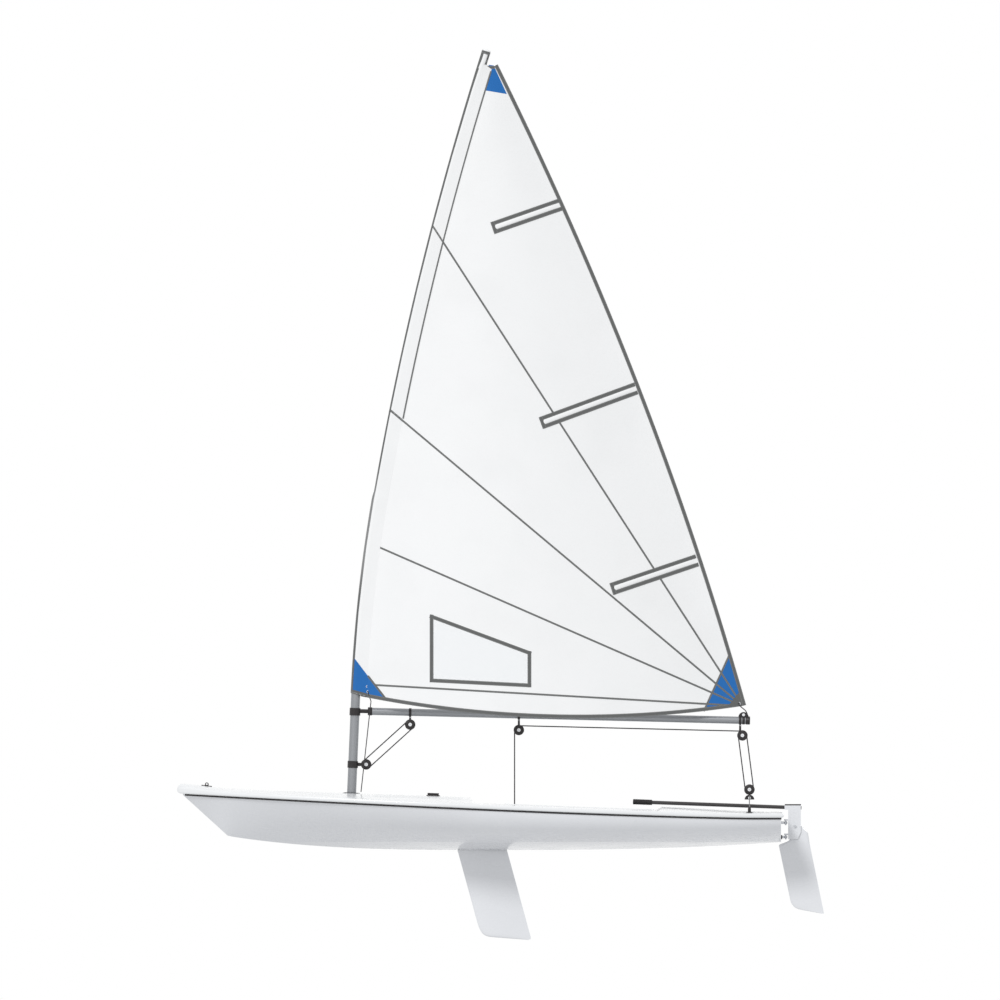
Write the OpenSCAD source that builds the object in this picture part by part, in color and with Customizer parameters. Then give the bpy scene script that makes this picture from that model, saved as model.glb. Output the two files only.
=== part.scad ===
// Single-handed sailing dinghy with a sleeve-luffed sail on an unstayed mast.
// Frame: millimetres, +X to the bow, +Y to port, +Z up. The origin is on the
// centreline at the unladen waterline, amidships.

/* [Hull] */
// Length of the hull body, stem head to transom
hull_len = 4187; // [3900:1:4400]
// Overall beam across the gunwales
beam = 1370; // [1250:1:1450]
// Height of the gunwale rim
lip_h = 30; // [24:1:38]
// Width of the rim outside the hull side
lip_w = 25; // [18:1:35]
// Half width of the cockpit well
well_half = 265; // [200:1:310]
// Height of the cockpit sole above the waterline
sole_z = 62; // [45:1:90]
// Thickness of the cockpit tub
tub_t = 7; // [5:0.5:12]

/* [Spars] */
// Diameter of the lower mast
lower_mast_d = 64; // [58:0.5:74]
// Diameter of the upper mast
upper_mast_d = 51; // [44:0.5:54]
// Wall of the mast and boom tubes
tube_wall = 3; // [2:0.1:4]
// Aft rake of the straight part of the mast in degrees
mast_rake = 2.4; // [0:0.1:4]
// Length of the upper mast above the joint
upper_arc_len = 3228; // [2600:1:3300]
// Boom diameter
boom_d = 51; // [44:0.5:58]
// Boom length
boom_len = 2660; // [2300:1:2720]

/* [Foils] */
// Thickness of the daggerboard
board_t = 25; // [18:0.5:32]
// Running clearance all round the daggerboard
board_clear = 5; // [5:0.5:8]
// Thickness of the rudder blade
blade_t = 19; // [14:0.5:24]
// Side clearance between rudder blade and cheeks
cheek_clear = 5; // [5:0.5:7]
// Diameter of the tiller
tiller_d = 26; // [20:0.5:28]

/* [Fittings] */
// Outer radius of the rope blocks
block_r = 37; // [30:0.5:42]
// Diameter of the ropes
line_d = 6; // [4:0.5:8]
// Thickness of the sail as modelled
cloth_t = 3; // [2:0.5:4]
// Gap left between pieces seated on each other
seat_gap = 0.3; // [0.2:0.05:0.5]

/* [Hidden] */
$fn = 48;

// ---- helpers ----
function mix(a, b, t) = a + (b - a) * t;
function clamp01(t) = min(1, max(0, t));
function ease(t) = let (c = clamp01(t)) c * c * (3 - 2 * c);
function bezier(p, t) = let (s = 1 - t)
    s * s * s * p[0] + 3 * s * s * t * p[1] + 3 * s * t * t * p[2] + t * t * t * p[3];

// Closed skin over rows of n points each, the rows being closed loops
function loft_faces(rows, n) = concat(
    [for (i = [0 : rows - 2], j = [0 : n - 1])
        let (k = (j + 1) % n, a = i * n + j, b = i * n + k, c = a + n, d = b + n)
        each [[a, b, d], [a, d, c]]],
    [[for (j = [n - 1 : -1 : 0]) j]],
    [[for (j = [0 : n - 1]) (rows - 1) * n + j]]);
module loft(loops) {
    polyhedron(points = [for (l = loops) each l], faces = loft_faces(len(loops), len(loops[0])));
}

// A round bar between two points
module bar(a, b, r) {
    d = b - a;
    l = norm(d);
    translate(a)
        rotate([0, acos(d[2] / l), atan2(d[1], d[0])])
            cylinder(r = r, h = l);
}

// A box with upright corners rounded in six flats each
module round_box(x0, x1, half, z0, z1, r) {
    translate([0, 0, z0]) linear_extrude(z1 - z0) polygon([
        for (q = [0 : 3], i = [0 : 6])
            let (a = 90 * q + 15 * i, cx = (q == 0 || q == 3) ? x1 - r : x0 + r,
                 cy = q < 2 ? half - r : r - half)
            [cx + r * cos(a), cy + r * sin(a)]]);
}

// A plate lying in the XZ plane, w wide across the boat
module side_plate(pts, w) {
    translate([0, w / 2, 0]) rotate([90, 0, 0]) linear_extrude(w) polygon(pts);
}

// ---- hull lines ----
transom_x = -2107;
stem_x = transom_x + hull_len;
bow_over = 41;                          // nose of the deck ahead of the stem
tail_over = 21;                         // rim of the deck behind the transom
deck_nose = stem_x + bow_over;
deck_tail = transom_x - tail_over;
full_at = 0.6;                          // share of the length where the beam is greatest
stern_taper = 0.2;
keel_low = -56;                         // deepest point of the keel line
keel_low_x = -200;
knuckle_back = 316;                     // foot of the straight stem, behind the stem head
knuckle_z = 42;
stem_z = 330;
knuckle_x = stem_x - knuckle_back;
sheer_low = 170;
sheer_low_x = -1900;
sheer_rise = 159;
sheer_short = 155;                      // the rise is reckoned to this far short of the stem head
sheer_ref = stem_x - sheer_low_x - sheer_short;

function plan(t) = let (c = clamp01(t))
    c < full_at ? pow(max(0, 1 - pow(1 - c / full_at, 2)), 0.75)
                : 1 - stern_taper * pow((c - full_at) / (1 - full_at), 2);
function sheer_z(x) = sheer_low + sheer_rise * pow(max(0, x - sheer_low_x) / sheer_ref, 1.33);
function keel_z(x) =
    x > knuckle_x ? mix(knuckle_z, stem_z, (x - knuckle_x) / knuckle_back)
    : x > keel_low_x ? mix(keel_low, knuckle_z, pow((x - keel_low_x) / (knuckle_x - keel_low_x), 3.2))
    : mix(keel_low, 0, pow((keel_low_x - x) / (keel_low_x - transom_x), 2.4));
function hull_half(x) = (beam / 2 - lip_w) * plan((stem_x - x) / hull_len);
function deck_half(x) = (beam / 2) * plan((deck_nose - x) / (deck_nose - deck_tail));

// A half section, keel to gunwale: V at the bow, flat with round bilges aft
function section_point(x, u) =
    let (b = hull_half(x), zk = keel_z(x), d = sheer_z(x) - zk,
         aft = ease((stem_x - x) / (0.6 * hull_len)),
         ys = [0, b * mix(0.30, 0.50, aft), b * mix(0.62, 0.97, aft), b],
         zs = [zk, zk + d * mix(0.26, 0.08, aft), zk + d * mix(0.60, 0.26, aft), zk + d])
    [bezier(ys, u), bezier(zs, u)];

// Stations shared by hull and deck
step_x = 70;                            // aft edge of the raised foredeck
step_run = 35;
aft_step_x = -1225;                     // fore edge of the raised afterdeck
aft_step_run = 55;
well_x0 = -1205;
well_x1 = -185;
well_corner = 60;
rows_x = concat(
    [for (i = [0 : 12]) mix(stem_x - 6, step_x, pow(i / 12, 1.25))],
    [for (i = [0 : 6]) mix(step_x - step_run, aft_step_x, i / 6)],
    [for (i = [0 : 6]) mix(aft_step_x - aft_step_run, transom_x, i / 6)]);

half_n = 8;
function hull_loop(x) = [for (k = [-half_n : half_n])
    let (s = section_point(x, abs(k) / half_n)) [x, sign(k) * s[0], s[1]]];

// ---- deck surface ----
fore_camber = 46;
bow_camber = 26;
side_camber = 10;
aft_camber = 33;
bow_lift = 14;
function camber(x) =
    x >= step_x ? mix(fore_camber, bow_camber, ease((x - step_x) / (0.8 * stem_x - step_x)))
    : x > step_x - step_run ? mix(side_camber, fore_camber, (x - step_x + step_run) / step_run)
    : x > aft_step_x ? side_camber
    : x > aft_step_x - aft_step_run ? mix(side_camber, aft_camber, (aft_step_x - x) / aft_step_run)
    : mix(aft_camber, 12, ease((aft_step_x - x) / (aft_step_x - transom_x)));
function rim_z(x) = sheer_z(x) + lip_h + bow_lift * ease((x - 0.85 * stem_x) / (0.15 * stem_x));
function deck_z(x, y) = let (b = deck_half(x)) rim_z(x) + camber(x) * (1 - pow(y / b, 2));
// Rounding of the rim at the two ends, 1 along the boat and small at its tips
nose_round = 34;
tail_round = 18;
function end_share(x) = max(0.12, min(
    sqrt(max(0, 1 - pow(clamp01((x - deck_nose + nose_round) / nose_round), 2))),
    sqrt(max(0, 1 - pow(clamp01((deck_tail + tail_round - x) / tail_round), 2)))));
top_n = 12;
function deck_loop(x) =
    let (b = deck_half(x), e = min(9, 0.3 * b), s = sheer_z(x) + seat_gap, r = rim_z(x),
         mid = (s + r) / 2, k = end_share(x),
         pts = concat(
            [[b - e, s], [b, s + e], [b, r - e], [b - e, r]],
            [for (j = [1 : top_n - 1]) let (y = mix(b - e, -b + e, j / top_n)) [y, deck_z(x, y)]],
            [[-b + e, r], [-b, r - e], [-b, s + e], [-b + e, s]]))
    [for (p = pts) [x, p[0], mid + (p[1] - mid) * k]];
deck_rows = concat([for (d = [1, 5, 12, 22]) deck_nose - d], rows_x,
                   [for (d = [9, 16, 20]) transom_x - d]);

// ---- daggerboard line ----
board_rake = 15.3;
board_half = 167;                       // half chord
board_top_z = 232;                      // height of the board's cut top, where its stop rests
board_tip = [[board_half - 11, -596], [board_half - 24, -632], [108, -660], [10 - board_half, -754]];
recess_half = 42;
recess_floor = board_top_z;
recess_x0 = -118;
recess_x1 = 268;
case_t = 6;
case_foot = 4;                          // the case's foot over the lowest point of the keel
slot_half = board_half + board_clear;
slot_w = board_t / 2 + board_clear;
// Places children with local Z along the board's axis, which leans forward
module on_board() { rotate([0, board_rake, 0]) children(); }
module case_bar(grow, z0, z1) {
    on_board() round_box(-slot_half - grow, slot_half + grow, slot_w + grow, z0, z1, slot_w + grow - 1);
}

// ---- mast line ----
mast_deck = [899, 340];                 // x and z of the mast's axis where it leaves the deck
mast_foot_z = 62;
straight_top_z = 1000;
lower_arc_len = 1410;
lower_bend = 7.4;                       // degrees the lower mast bends through
upper_bend = 7.8;
mast_clear = 0.8;                       // between mast and step, each side
step_t = 9;
step_floor = 14;                        // under side and upper side of its floor, below the mast
step_drain = 4;
mast_r = lower_mast_d / 2;
top_r = upper_mast_d / 2;
function mast_x(z) = mast_deck[0] - (z - mast_deck[1]) * tan(mast_rake);
straight_top = [mast_x(straight_top_z), 0, straight_top_z];
lower_r = round(lower_arc_len / lower_bend * 180 / PI);
upper_r = round(upper_arc_len / upper_bend * 180 / PI);
// Point s along an arc of radius r that starts at p leaning back by a
function arc_point(p, a, r, s) = let (b = a + s / r * 180 / PI)
    p + [r * (cos(b) - cos(a)), 0, r * (sin(b) - sin(a))];
joint_top = arc_point(straight_top, mast_rake, lower_r, lower_arc_len);
joint_lean = mast_rake + lower_arc_len / lower_r * 180 / PI;
top_lean = joint_lean + upper_arc_len / upper_r * 180 / PI;
mast_top = arc_point(joint_top, joint_lean, upper_r, upper_arc_len);
plug_len = 190;                         // upper mast inside the lower
// The mast's axis by height, below and above the joint
function arc_x(p, a, r, z) = let (s = sin(a) + (z - p[2]) / r) p[0] + r * (sqrt(1 - s * s) - cos(a));
function luff_x(z) =
    z < straight_top_z ? mast_x(z)
    : z < joint_top[2] ? arc_x(straight_top, mast_rake, lower_r, z)
    : arc_x(joint_top, joint_lean, upper_r, z);
// A tube along an arc of radius r starting at p leaning back by a, from s along it, length l
module arc_tube(p, a, r, s, l, outer, inner) {
    translate(arc_point(p, a, r, s))
        rotate([90, 0, 0])
            rotate([0, 0, a + s / r * 180 / PI])
                translate([-r, 0, 0])
                    rotate_extrude(angle = l / r * 180 / PI, $fn = 720)
                        translate([r, 0]) difference() {
                            circle(r = outer);
                            circle(r = inner);
                        }
}
// Along the straight part of the mast, z0 and z1 being heights
module mast_bar(z0, z1, r) { bar([mast_x(z0), 0, z0], [mast_x(z1), 0, z1], r); }

// ---- boom line ----
boom_front = [777, 0, 915];
boom_droop = 1.39;
boom_dir = [-cos(boom_droop), 0, -sin(boom_droop)];
function boom_at(s) = boom_front + boom_dir * s;
function boom_z(x) = boom_front[2] + (x - boom_front[0]) * tan(boom_droop);
boom_r = boom_d / 2;

// ---- sail surface, a height field over the XZ plane ----
clew = [-1838, 952];
head = [-101, 5432];
roach = 120;
tack_z = 1020;
foot_round = 118;
sleeve_gap = 0.6;
sleeve_t = 1.5;
sleeve_low_z = 1043;
draft_low = 0.115;
draft_high = 0.085;
function leech_x(z) = let (t = (z - clew[1]) / (head[1] - clew[1]))
    mix(clew[0], head[0], t) - roach * 4 * t * (1 - t);
function sleeve_r(z) = (z < joint_top[2] ? mast_r : top_r) + sleeve_gap + sleeve_t;
function sail_y(x, z) =
    let (f = luff_x(z), c = f - leech_x(z), s = clamp01((f - x) / c),
         d = mix(draft_low, draft_high, clamp01((z - tack_z) / (head[1] - tack_z))))
    c * d * 4.9 * pow(s, 1.06) * pow(1 - s, 1.3);
sail_rows = 30;
sail_cols = 18;
// Grid point of the sail: h up the luff, s back along the chord
function sail_point(h, s) =
    let (zl = mix(tack_z, head[1] + 6, h), zt = mix(clew[1], head[1], h),
         xl = luff_x(zl) - sleeve_r(zl) - seat_gap - 1,
         x = mix(xl, leech_x(zt), s),
         z = mix(zl, zt, s) - foot_round * pow(1 - h, 4) * 4 * s * (1 - s))
    [x, sail_y(x, z), z];
function sheet_faces(first, rows, cols, flip) = [
    for (i = [0 : rows - 2], j = [0 : cols - 2])
        let (a = first + i * cols + j, b = a + 1, c = a + cols, d = c + 1)
        each (flip ? [[a, d, b], [a, c, d]] : [[a, b, d], [a, d, c]])];
function rim_faces(run, n) = [
    for (k = [0 : len(run) - 1])
        let (a = run[k], b = run[(k + 1) % len(run)])
        each [[a, a + n, b + n], [a, b + n, b]]];
// A cloth of thickness t on a grid of points, lifted across the boat
module cloth(grid, rows, cols, t, lift) {
    n = rows * cols;
    run = concat([for (j = [0 : cols - 2]) j],
                 [for (i = [0 : rows - 2]) i * cols + cols - 1],
                 [for (j = [cols - 1 : -1 : 1]) (rows - 1) * cols + j],
                 [for (i = [rows - 1 : -1 : 1]) i * cols]);
    polyhedron(points = concat([for (p = grid) p + [0, lift + t / 2, 0]],
                               [for (p = grid) p + [0, lift - t / 2, 0]]),
               faces = concat(sheet_faces(0, rows, cols, false),
                              sheet_faces(n, rows, cols, true), rim_faces(run, n)));
}
module sail_cloth() {
    cloth([for (i = [0 : sail_rows - 1], j = [0 : sail_cols - 1])
              sail_point(pow(i / (sail_rows - 1), 1.1), j / (sail_cols - 1))],
          sail_rows, sail_cols, cloth_t, 0);
}
window = [[339, 1578], [-346, 1323], [-346, 1096], [339, 1131]];
module window_prism(inset) {
    c = [for (k = [0, 1]) (window[0][k] + window[1][k] + window[2][k] + window[3][k]) / 4];
    translate([0, 600, 0]) rotate([90, 0, 0]) linear_extrude(700)
        polygon([for (p = window) p - [sign(p[0] - c[0]), sign(p[1] - c[1])] * inset]);
}
// Battens: x and z of the leech end, x and z of the fore end
batten_lines = [
    [[-560, 4451], [-110, 4305]],
    [[-1080, 3160], [-440, 2938]],
    [[-1500, 1956], [-935, 1777]]
];
batten_w = 34;
batten_t = 2;
batten_gap = 2.9;                       // over the flats of the sail

// ---- hull nodes ----
module hull() {
    color([0.93, 0.93, 0.94]) difference() {
        loft([for (x = rows_x) hull_loop(x)]);
        round_box(well_x0 - tub_t - seat_gap, well_x1 + tub_t + seat_gap,
                  well_half + tub_t + seat_gap, sole_z - tub_t - seat_gap, 400,
                  well_corner + tub_t);
        case_bar(case_t + seat_gap, -200, 400);
        round_box(recess_x0, recess_x1, recess_half, recess_floor - seat_gap, 400, 20);
        mast_bar(mast_foot_z - step_floor - seat_gap, 400, mast_r + mast_clear + step_t + seat_gap);
    }
}

module deck() {
    z0 = sole_z - tub_t;
    color([0.95, 0.95, 0.95]) difference() {
        union() {
            loft([for (x = deck_rows) deck_loop(x)]);
            intersection() {
                round_box(well_x0 - tub_t, well_x1 + tub_t, well_half + tub_t, z0, 400,
                          well_corner + tub_t);
                side_plate([[well_x0 - 50, z0 - 1], [well_x1 + 50, z0 - 1],
                            [well_x1 + 50, sheer_z(well_x1) + lip_h / 2],
                            [well_x0 - 50, sheer_z(well_x0) + lip_h / 2]], 2 * well_half + 100);
            }
        }
        round_box(well_x0, well_x1, well_half, sole_z, 500, well_corner);
        case_bar(case_t + seat_gap, 100, 400);
        round_box(recess_x0, recess_x1, recess_half, recess_floor, 400, 20);
        mast_bar(200, 420, mast_r + mast_clear + step_t + seat_gap);
    }
}

module daggerboard_case() {
    color([0.90, 0.90, 0.91]) difference() {
        case_bar(case_t, -60, board_top_z);
        case_bar(0, -80, 300);
        // its foot is cut level just inside the bottom
        translate([-400, -100, -300]) cube([800, 200, 300 + keel_low + case_foot]);
        translate([-400, -100, recess_floor - seat_gap]) cube([800, 200, 200]);
    }
}

module mast_step() {
    color([0.30, 0.31, 0.33]) difference() {
        mast_bar(mast_foot_z - step_floor, mast_deck[1] + 4, mast_r + mast_clear + step_t);
        mast_bar(mast_foot_z - step_drain, mast_deck[1] + 40, mast_r + mast_clear);
    }
}

// Places children on the centreline of the deck at x, tilted with its slope
module on_deck(x) {
    dz = (deck_z(x + 60, 0) - deck_z(x - 60, 0)) / 120;
    translate([x, 0, deck_z(x, 0) + seat_gap + 0.2]) rotate([0, -atan(dz), 0]) children();
}

eye_bore_r = 6;
eye_at = 0.92;                          // share of the way from amidships to the stem
module bow_eye() {
    color([0.14, 0.14, 0.15]) on_deck(eye_at * stem_x) difference() {
        union() {
            translate([-37, -14, 0]) cube([74, 28, 5]);
            translate([0, 5, 13]) rotate([90, 0, 0]) cylinder(r = 13, h = 10);
            translate([-13, -5, 0]) cube([26, 10, 13]);
        }
        translate([0, 20, 14]) rotate([90, 0, 0]) cylinder(r = eye_bore_r, h = 40);
    }
}

cleats_x = 328;
module deck_cleats() {
    color([0.16, 0.16, 0.17]) on_deck(cleats_x) {
        translate([-48, -55, 0]) cube([96, 110, 5]);
        for (y = [-30, 30]) translate([0, y, 0]) difference() {
            translate([-40, -11, 0]) cube([80, 22, 20]);
            translate([-50, 0, 17]) rotate([0, 90, 0]) cylinder(r = 6, h = 100, $fn = 6);
        }
    }
}

strap_w = 50;
strap_t = 3;
strap_rise = 56;                        // of its flying part over the sole
strap_fore = 190;                       // its fore end, behind the well's fore wall
strap_flat = 40;                        // length lying on the sole
strap_ramp = 60;
module hiking_strap() {
    z = sole_z + seat_gap;
    t = strap_t;
    h = strap_rise;
    x0 = well_x1 - strap_fore;
    x1 = x0 - strap_flat;
    x2 = x1 - strap_ramp;
    lean = 2;                           // keeps the web's thickness on the ramp
    color([0.13, 0.13, 0.14])
        side_plate([[x0, z], [x1, z], [x2, z + h], [well_x0 + seat_gap, z + h],
                    [well_x0 + seat_gap, z + h + t], [x2 + lean, z + h + t],
                    [x1 + lean, z + t], [x0, z + t]], strap_w);
}

// A rope block lying in the XZ plane: cheeks, sheave in the middle, bored for its pin
sheave_w = 9;
cheek_t = 6;
module rope_block() {
    rotate([90, 0, 0]) {
        for (s = [-1, 1]) translate([0, 0, s * (sheave_w + cheek_t) / 2 - cheek_t / 2])
            cylinder(r = block_r, h = cheek_t);
        translate([0, 0, -sheave_w / 2]) cylinder(r = block_r * 0.72, h = sheave_w);
        translate([0, 0, -sheave_w / 2 - cheek_t - 2])
            cylinder(r = block_r * 0.3, h = sheave_w + 2 * cheek_t + 4);
    }
}

ratchet_foot = [30, 5];                 // radius and thickness of its base on the sole
ratchet_neck = [10, 30];
ratchet_rise = 27;                      // from the sole to the under side of the cheeks
module ratchet_block() {
    // under the boom's middle block, so the fall hangs plumb between the two
    color([0.14, 0.14, 0.15]) translate([mid_block[0], 0, sole_z + seat_gap]) {
        cylinder(r = ratchet_foot[0], h = ratchet_foot[1]);
        cylinder(r = ratchet_neck[0], h = ratchet_neck[1]);
        translate([0, 0, ratchet_rise + block_r]) rope_block();
    }
}

// ---- traveller ----
trav_x = -1886;
lead_inset = 84;                        // fairleads in from the deck's edge
trav_y = round(deck_half(trav_x)) - lead_inset;
trav_block_z = 367;
lead_h = 38;                            // tall enough to hold the rope over a tiller put hard over
lead_r = 11;
lead_half_w = 5;
apex_rise = 0.6;                        // the rope's crown under the block, above two plain bars
lead_foot = [44, 18, 5];
lead_eye_z = lead_h - lead_r;           // the eye's centre over its foot
lead_z = deck_z(trav_x, trav_y) + seat_gap + 0.8;   // the foot is flat on a deck that falls away
lead_tilt = atan(2 * camber(trav_x) * trav_y / pow(deck_half(trav_x), 2));
module traveller_fairleads() {
    color([0.14, 0.14, 0.15]) for (s = [-1, 1])
        translate([trav_x, s * trav_y, lead_z]) rotate([-s * lead_tilt, 0, 0]) difference() {
            union() {
                translate([-lead_foot[0] / 2, -lead_foot[1] / 2, 0]) cube(lead_foot);
                translate([0, lead_half_w, lead_eye_z]) rotate([90, 0, 0])
                    cylinder(r = lead_r, h = 2 * lead_half_w);
                translate([-lead_r, -lead_half_w, 0]) cube([2 * lead_r, 2 * lead_half_w, lead_eye_z]);
            }
            translate([0, 20, lead_eye_z]) rotate([90, 0, 0]) cylinder(r = line_d / 2 + 0.4, h = 40);
        }
}
rope_end_slope = 0.1 * line_d;          // how far a sloping rope's square end leans out at its foot
module traveller_line() {
    top = [trav_x, 0, trav_block_z - block_r - line_d / 2 + apex_rise];
    foot_y = trav_y - lead_half_w + lead_eye_z * sin(lead_tilt) - seat_gap - rope_end_slope;
    color([0.12, 0.12, 0.13]) {
        for (s = [-1, 1]) {
            foot = [trav_x, s * foot_y, lead_z + lead_eye_z];
            bar(foot, top + (top - foot) * 0.004, line_d / 2);
        }
    }
}
module traveller_block() {
    color([0.14, 0.14, 0.15]) translate([trav_x, 0, trav_block_z]) rope_block();
}

// ---- rudder ----
pin_x = transom_x - 33;                 // the axis the rudder steers about
pin_r = 5;
pin_clear = 0.5;
ring_r = 11;
pin_levels = [26, 126];                 // undersides of the two gudgeon rings
ring_h = 18;
ring_gap = 5;
pivot = [-2205, 110];                   // x and z of the blade's lifting bolt
hub_r = 38;
blade_pts = [[-2090, -21], [-2173, -413], [-2190, -446], [-2233, -472], [-2408, -504],
             [-2296, 63], [-2238, 128]];
head_front = pin_x - 17;
cheek_in = blade_t / 2 + cheek_clear;
head_cheek_t = 5;
head_half = cheek_in + head_cheek_t;
bolt_r = 6;
bolt_clear = 0.5;
module gudgeons() {
    color([0.72, 0.73, 0.75]) for (z = pin_levels) difference() {
        union() {
            translate([transom_x - seat_gap - 4, -30, z]) cube([4, 60, ring_h]);
            translate([pin_x, -6, z]) cube([transom_x - seat_gap - pin_x, 12, ring_h]);
            translate([pin_x, 0, z]) cylinder(r = ring_r, h = ring_h);
        }
        translate([pin_x, 0, z - 1]) cylinder(r = pin_r + pin_clear, h = ring_h + 2);
    }
}
module pintles() {
    color([0.72, 0.73, 0.75]) for (z = pin_levels) {
        translate([pin_x, 0, z - 8]) cylinder(r = pin_r, h = ring_h + ring_gap + 8 + 10);
    }
}
tiller_r = tiller_d / 2;
tiller_z = 243;                         // height of the tiller over the steering axis
tiller_rise = 0.0365;
socket_under = 4;                       // the block round the tiller's after end, below and above it
socket_over = 8;
socket_z0 = tiller_z - tiller_r - socket_under;
socket_z1 = tiller_z + tiller_r + socket_over;
tiller_end_x = -2250;
grip_x0 = -1204;
grip_x1 = -1071;
grip_r = 19;
grip_end = 12;                          // closed end of the grip over the tiller's tip
function tiller_at(x) = [x, 0, tiller_z + tiller_rise * (x - pin_x)];
module rudder_head() {
    color([0.93, 0.93, 0.94]) difference() {
        union() {
            for (s = [-1, 1]) translate([0, s * (cheek_in + head_cheek_t / 2), 0])
                side_plate([[head_front, 20], [-2225, 20], [-2246, 70], [-2246, 240], [head_front, 240]],
                           head_cheek_t);
            side_plate([[head_front, 20], [head_front - 5, 20], [head_front - 5, 240], [head_front, 240]],
                       2 * head_half);
            side_plate([[-2246, socket_z0], [-2246, socket_z1], [pin_x + 8, socket_z1],
                        [pin_x + 8, socket_z0]], 2 * head_half);
            for (z = pin_levels) translate([0, 0, z + ring_h + ring_gap]) {
                translate([head_front - 4, -ring_r, 0]) cube([pin_x - head_front + 4, 2 * ring_r, 10]);
                translate([pin_x, 0, 0]) cylinder(r = ring_r, h = 10);
            }
        }
        for (z = pin_levels) translate([pin_x, 0, z + ring_h + ring_gap - 1])
            cylinder(r = pin_r + seat_gap, h = 12);
        bar(tiller_at(-2300), tiller_at(-2050), tiller_r + seat_gap);
        translate([pivot[0], 100, pivot[1]]) rotate([90, 0, 0]) cylinder(r = bolt_r + seat_gap, h = 200);
    }
}
module tiller() {
    color([0.14, 0.14, 0.15]) bar(tiller_at(tiller_end_x), tiller_at(grip_x1 - grip_end), tiller_r);
}
module tiller_grip() {
    color([0.14, 0.14, 0.15]) difference() {
        bar(tiller_at(grip_x0), tiller_at(grip_x1), grip_r);
        bar(tiller_at(grip_x0 - 20), tiller_at(grip_x1 - grip_end + seat_gap), tiller_r + seat_gap);
    }
}
module blade_bolt() {
    color([0.75, 0.76, 0.78]) translate([pivot[0], 0, pivot[1]]) rotate([90, 0, 0]) {
        translate([0, 0, -head_half - 8]) cylinder(r = bolt_r, h = 2 * head_half + 16);
        for (s = [-1, 1]) translate([0, 0, s * (head_half + seat_gap + 4) - 4])
            cylinder(r = 11, h = 8, $fn = 6);
    }
}
// Foil section prism along local Z: nose at +half, tail at -half
function foil(half, t) = let (n = 10) concat(
    [for (i = [-n : n]) let (a = 90 * i / n) [half * 0.4 + half * 0.6 * cos(a), t / 2 * sin(a)]],
    [[-half * 0.4, t / 2], [-half, 1], [-half, -1], [-half * 0.4, -t / 2]]);
module rudder_blade() {
    color([0.96, 0.96, 0.96]) difference() {
        intersection() {
            union() {
                side_plate(concat([[pivot[0] + hub_r, pivot[1]], [pivot[0] + hub_r, 12]], blade_pts),
                           blade_t);
                translate([pivot[0], blade_t / 2, pivot[1]]) rotate([90, 0, 0])
                    cylinder(r = hub_r, h = blade_t);
            }
            union() {
                translate([-2400, -50, 0]) cube([400, 100, 400]);
                translate([-2212, 0, 0]) rotate([0, 11.5, 0]) translate([0, 0, -700])
                    linear_extrude(700 + 40) polygon(foil(131, blade_t));
            }
        }
        translate([pivot[0], 100, pivot[1]]) rotate([90, 0, 0]) cylinder(r = bolt_r + bolt_clear, h = 200);
    }
}

// ---- daggerboard nodes ----
module daggerboard() {
    color([0.96, 0.96, 0.96]) difference() {
        on_board() intersection() {
            translate([0, 0, -800]) linear_extrude(1200) polygon(foil(board_half, board_t));
            side_plate(concat([[-board_half, -140], [-board_half, 400], [board_half, 400],
                               [board_half, -100]], board_tip), 2 * board_t);
        }
        translate([-400, -100, board_top_z]) cube([900, 200, 300]);
    }
}
stop_h = 13;
module daggerboard_stop() {
    c = board_top_z * tan(board_rake);
    half = board_half / cos(board_rake) - 5;
    color([0.30, 0.31, 0.33])
        round_box(c - half, c + half, board_t / 2 + 8, board_top_z + seat_gap,
                  board_top_z + seat_gap + stop_h, 12);
}

drain_at = [70, 34];                    // y and z on the transom
module drain_plug() {
    color([0.14, 0.14, 0.15]) translate([transom_x - seat_gap, drain_at[0], drain_at[1]])
        rotate([0, -90, 0]) cylinder(r = 15, h = 8);
}

// ---- spar nodes ----
module lower_mast() {
    r0 = mast_r - tube_wall;
    color([0.60, 0.61, 0.63]) {
        l = (straight_top_z - mast_foot_z) / cos(mast_rake);
        translate(straight_top) rotate([0, -mast_rake, 0]) difference() {
            translate([0, 0, -l]) cylinder(r = mast_r, h = l);
            translate([0, 0, -2 * l]) cylinder(r = r0, h = 3 * l);
        }
        arc_tube(straight_top, mast_rake, lower_r, 0, lower_arc_len, mast_r, r0);
    }
}
module upper_mast() {
    r0 = top_r - tube_wall;
    color([0.62, 0.63, 0.65]) {
        translate(joint_top) rotate([0, -joint_lean, 0]) difference() {
            translate([0, 0, -plug_len]) cylinder(r = top_r, h = plug_len);
            translate([0, 0, -2 * plug_len]) cylinder(r = r0, h = 3 * plug_len);
        }
        arc_tube(joint_top, joint_lean, upper_r, 0, upper_arc_len, top_r, r0);
    }
}
module mast_collar() {
    r0 = top_r + seat_gap + 0.2;
    color([0.14, 0.14, 0.15]) translate(joint_top) rotate([0, -joint_lean, 0]) difference() {
        union() {
            translate([0, 0, -50]) cylinder(r = mast_r - tube_wall - seat_gap, h = 52);
            translate([0, 0, seat_gap + 0.2]) cylinder(r = mast_r, h = 8);
        }
        translate([0, 0, -60]) cylinder(r = r0, h = 90);
    }
}
module mast_cap() {
    color([0.14, 0.14, 0.15]) translate(mast_top) rotate([0, -top_lean, 0]) {
        translate([0, 0, seat_gap]) cylinder(r = top_r, h = 6);
        translate([0, 0, -30]) cylinder(r = top_r - tube_wall - seat_gap, h = 31);
    }
}
goose_z = 912;
cap_t = 8;                              // end caps of the boom
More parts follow.
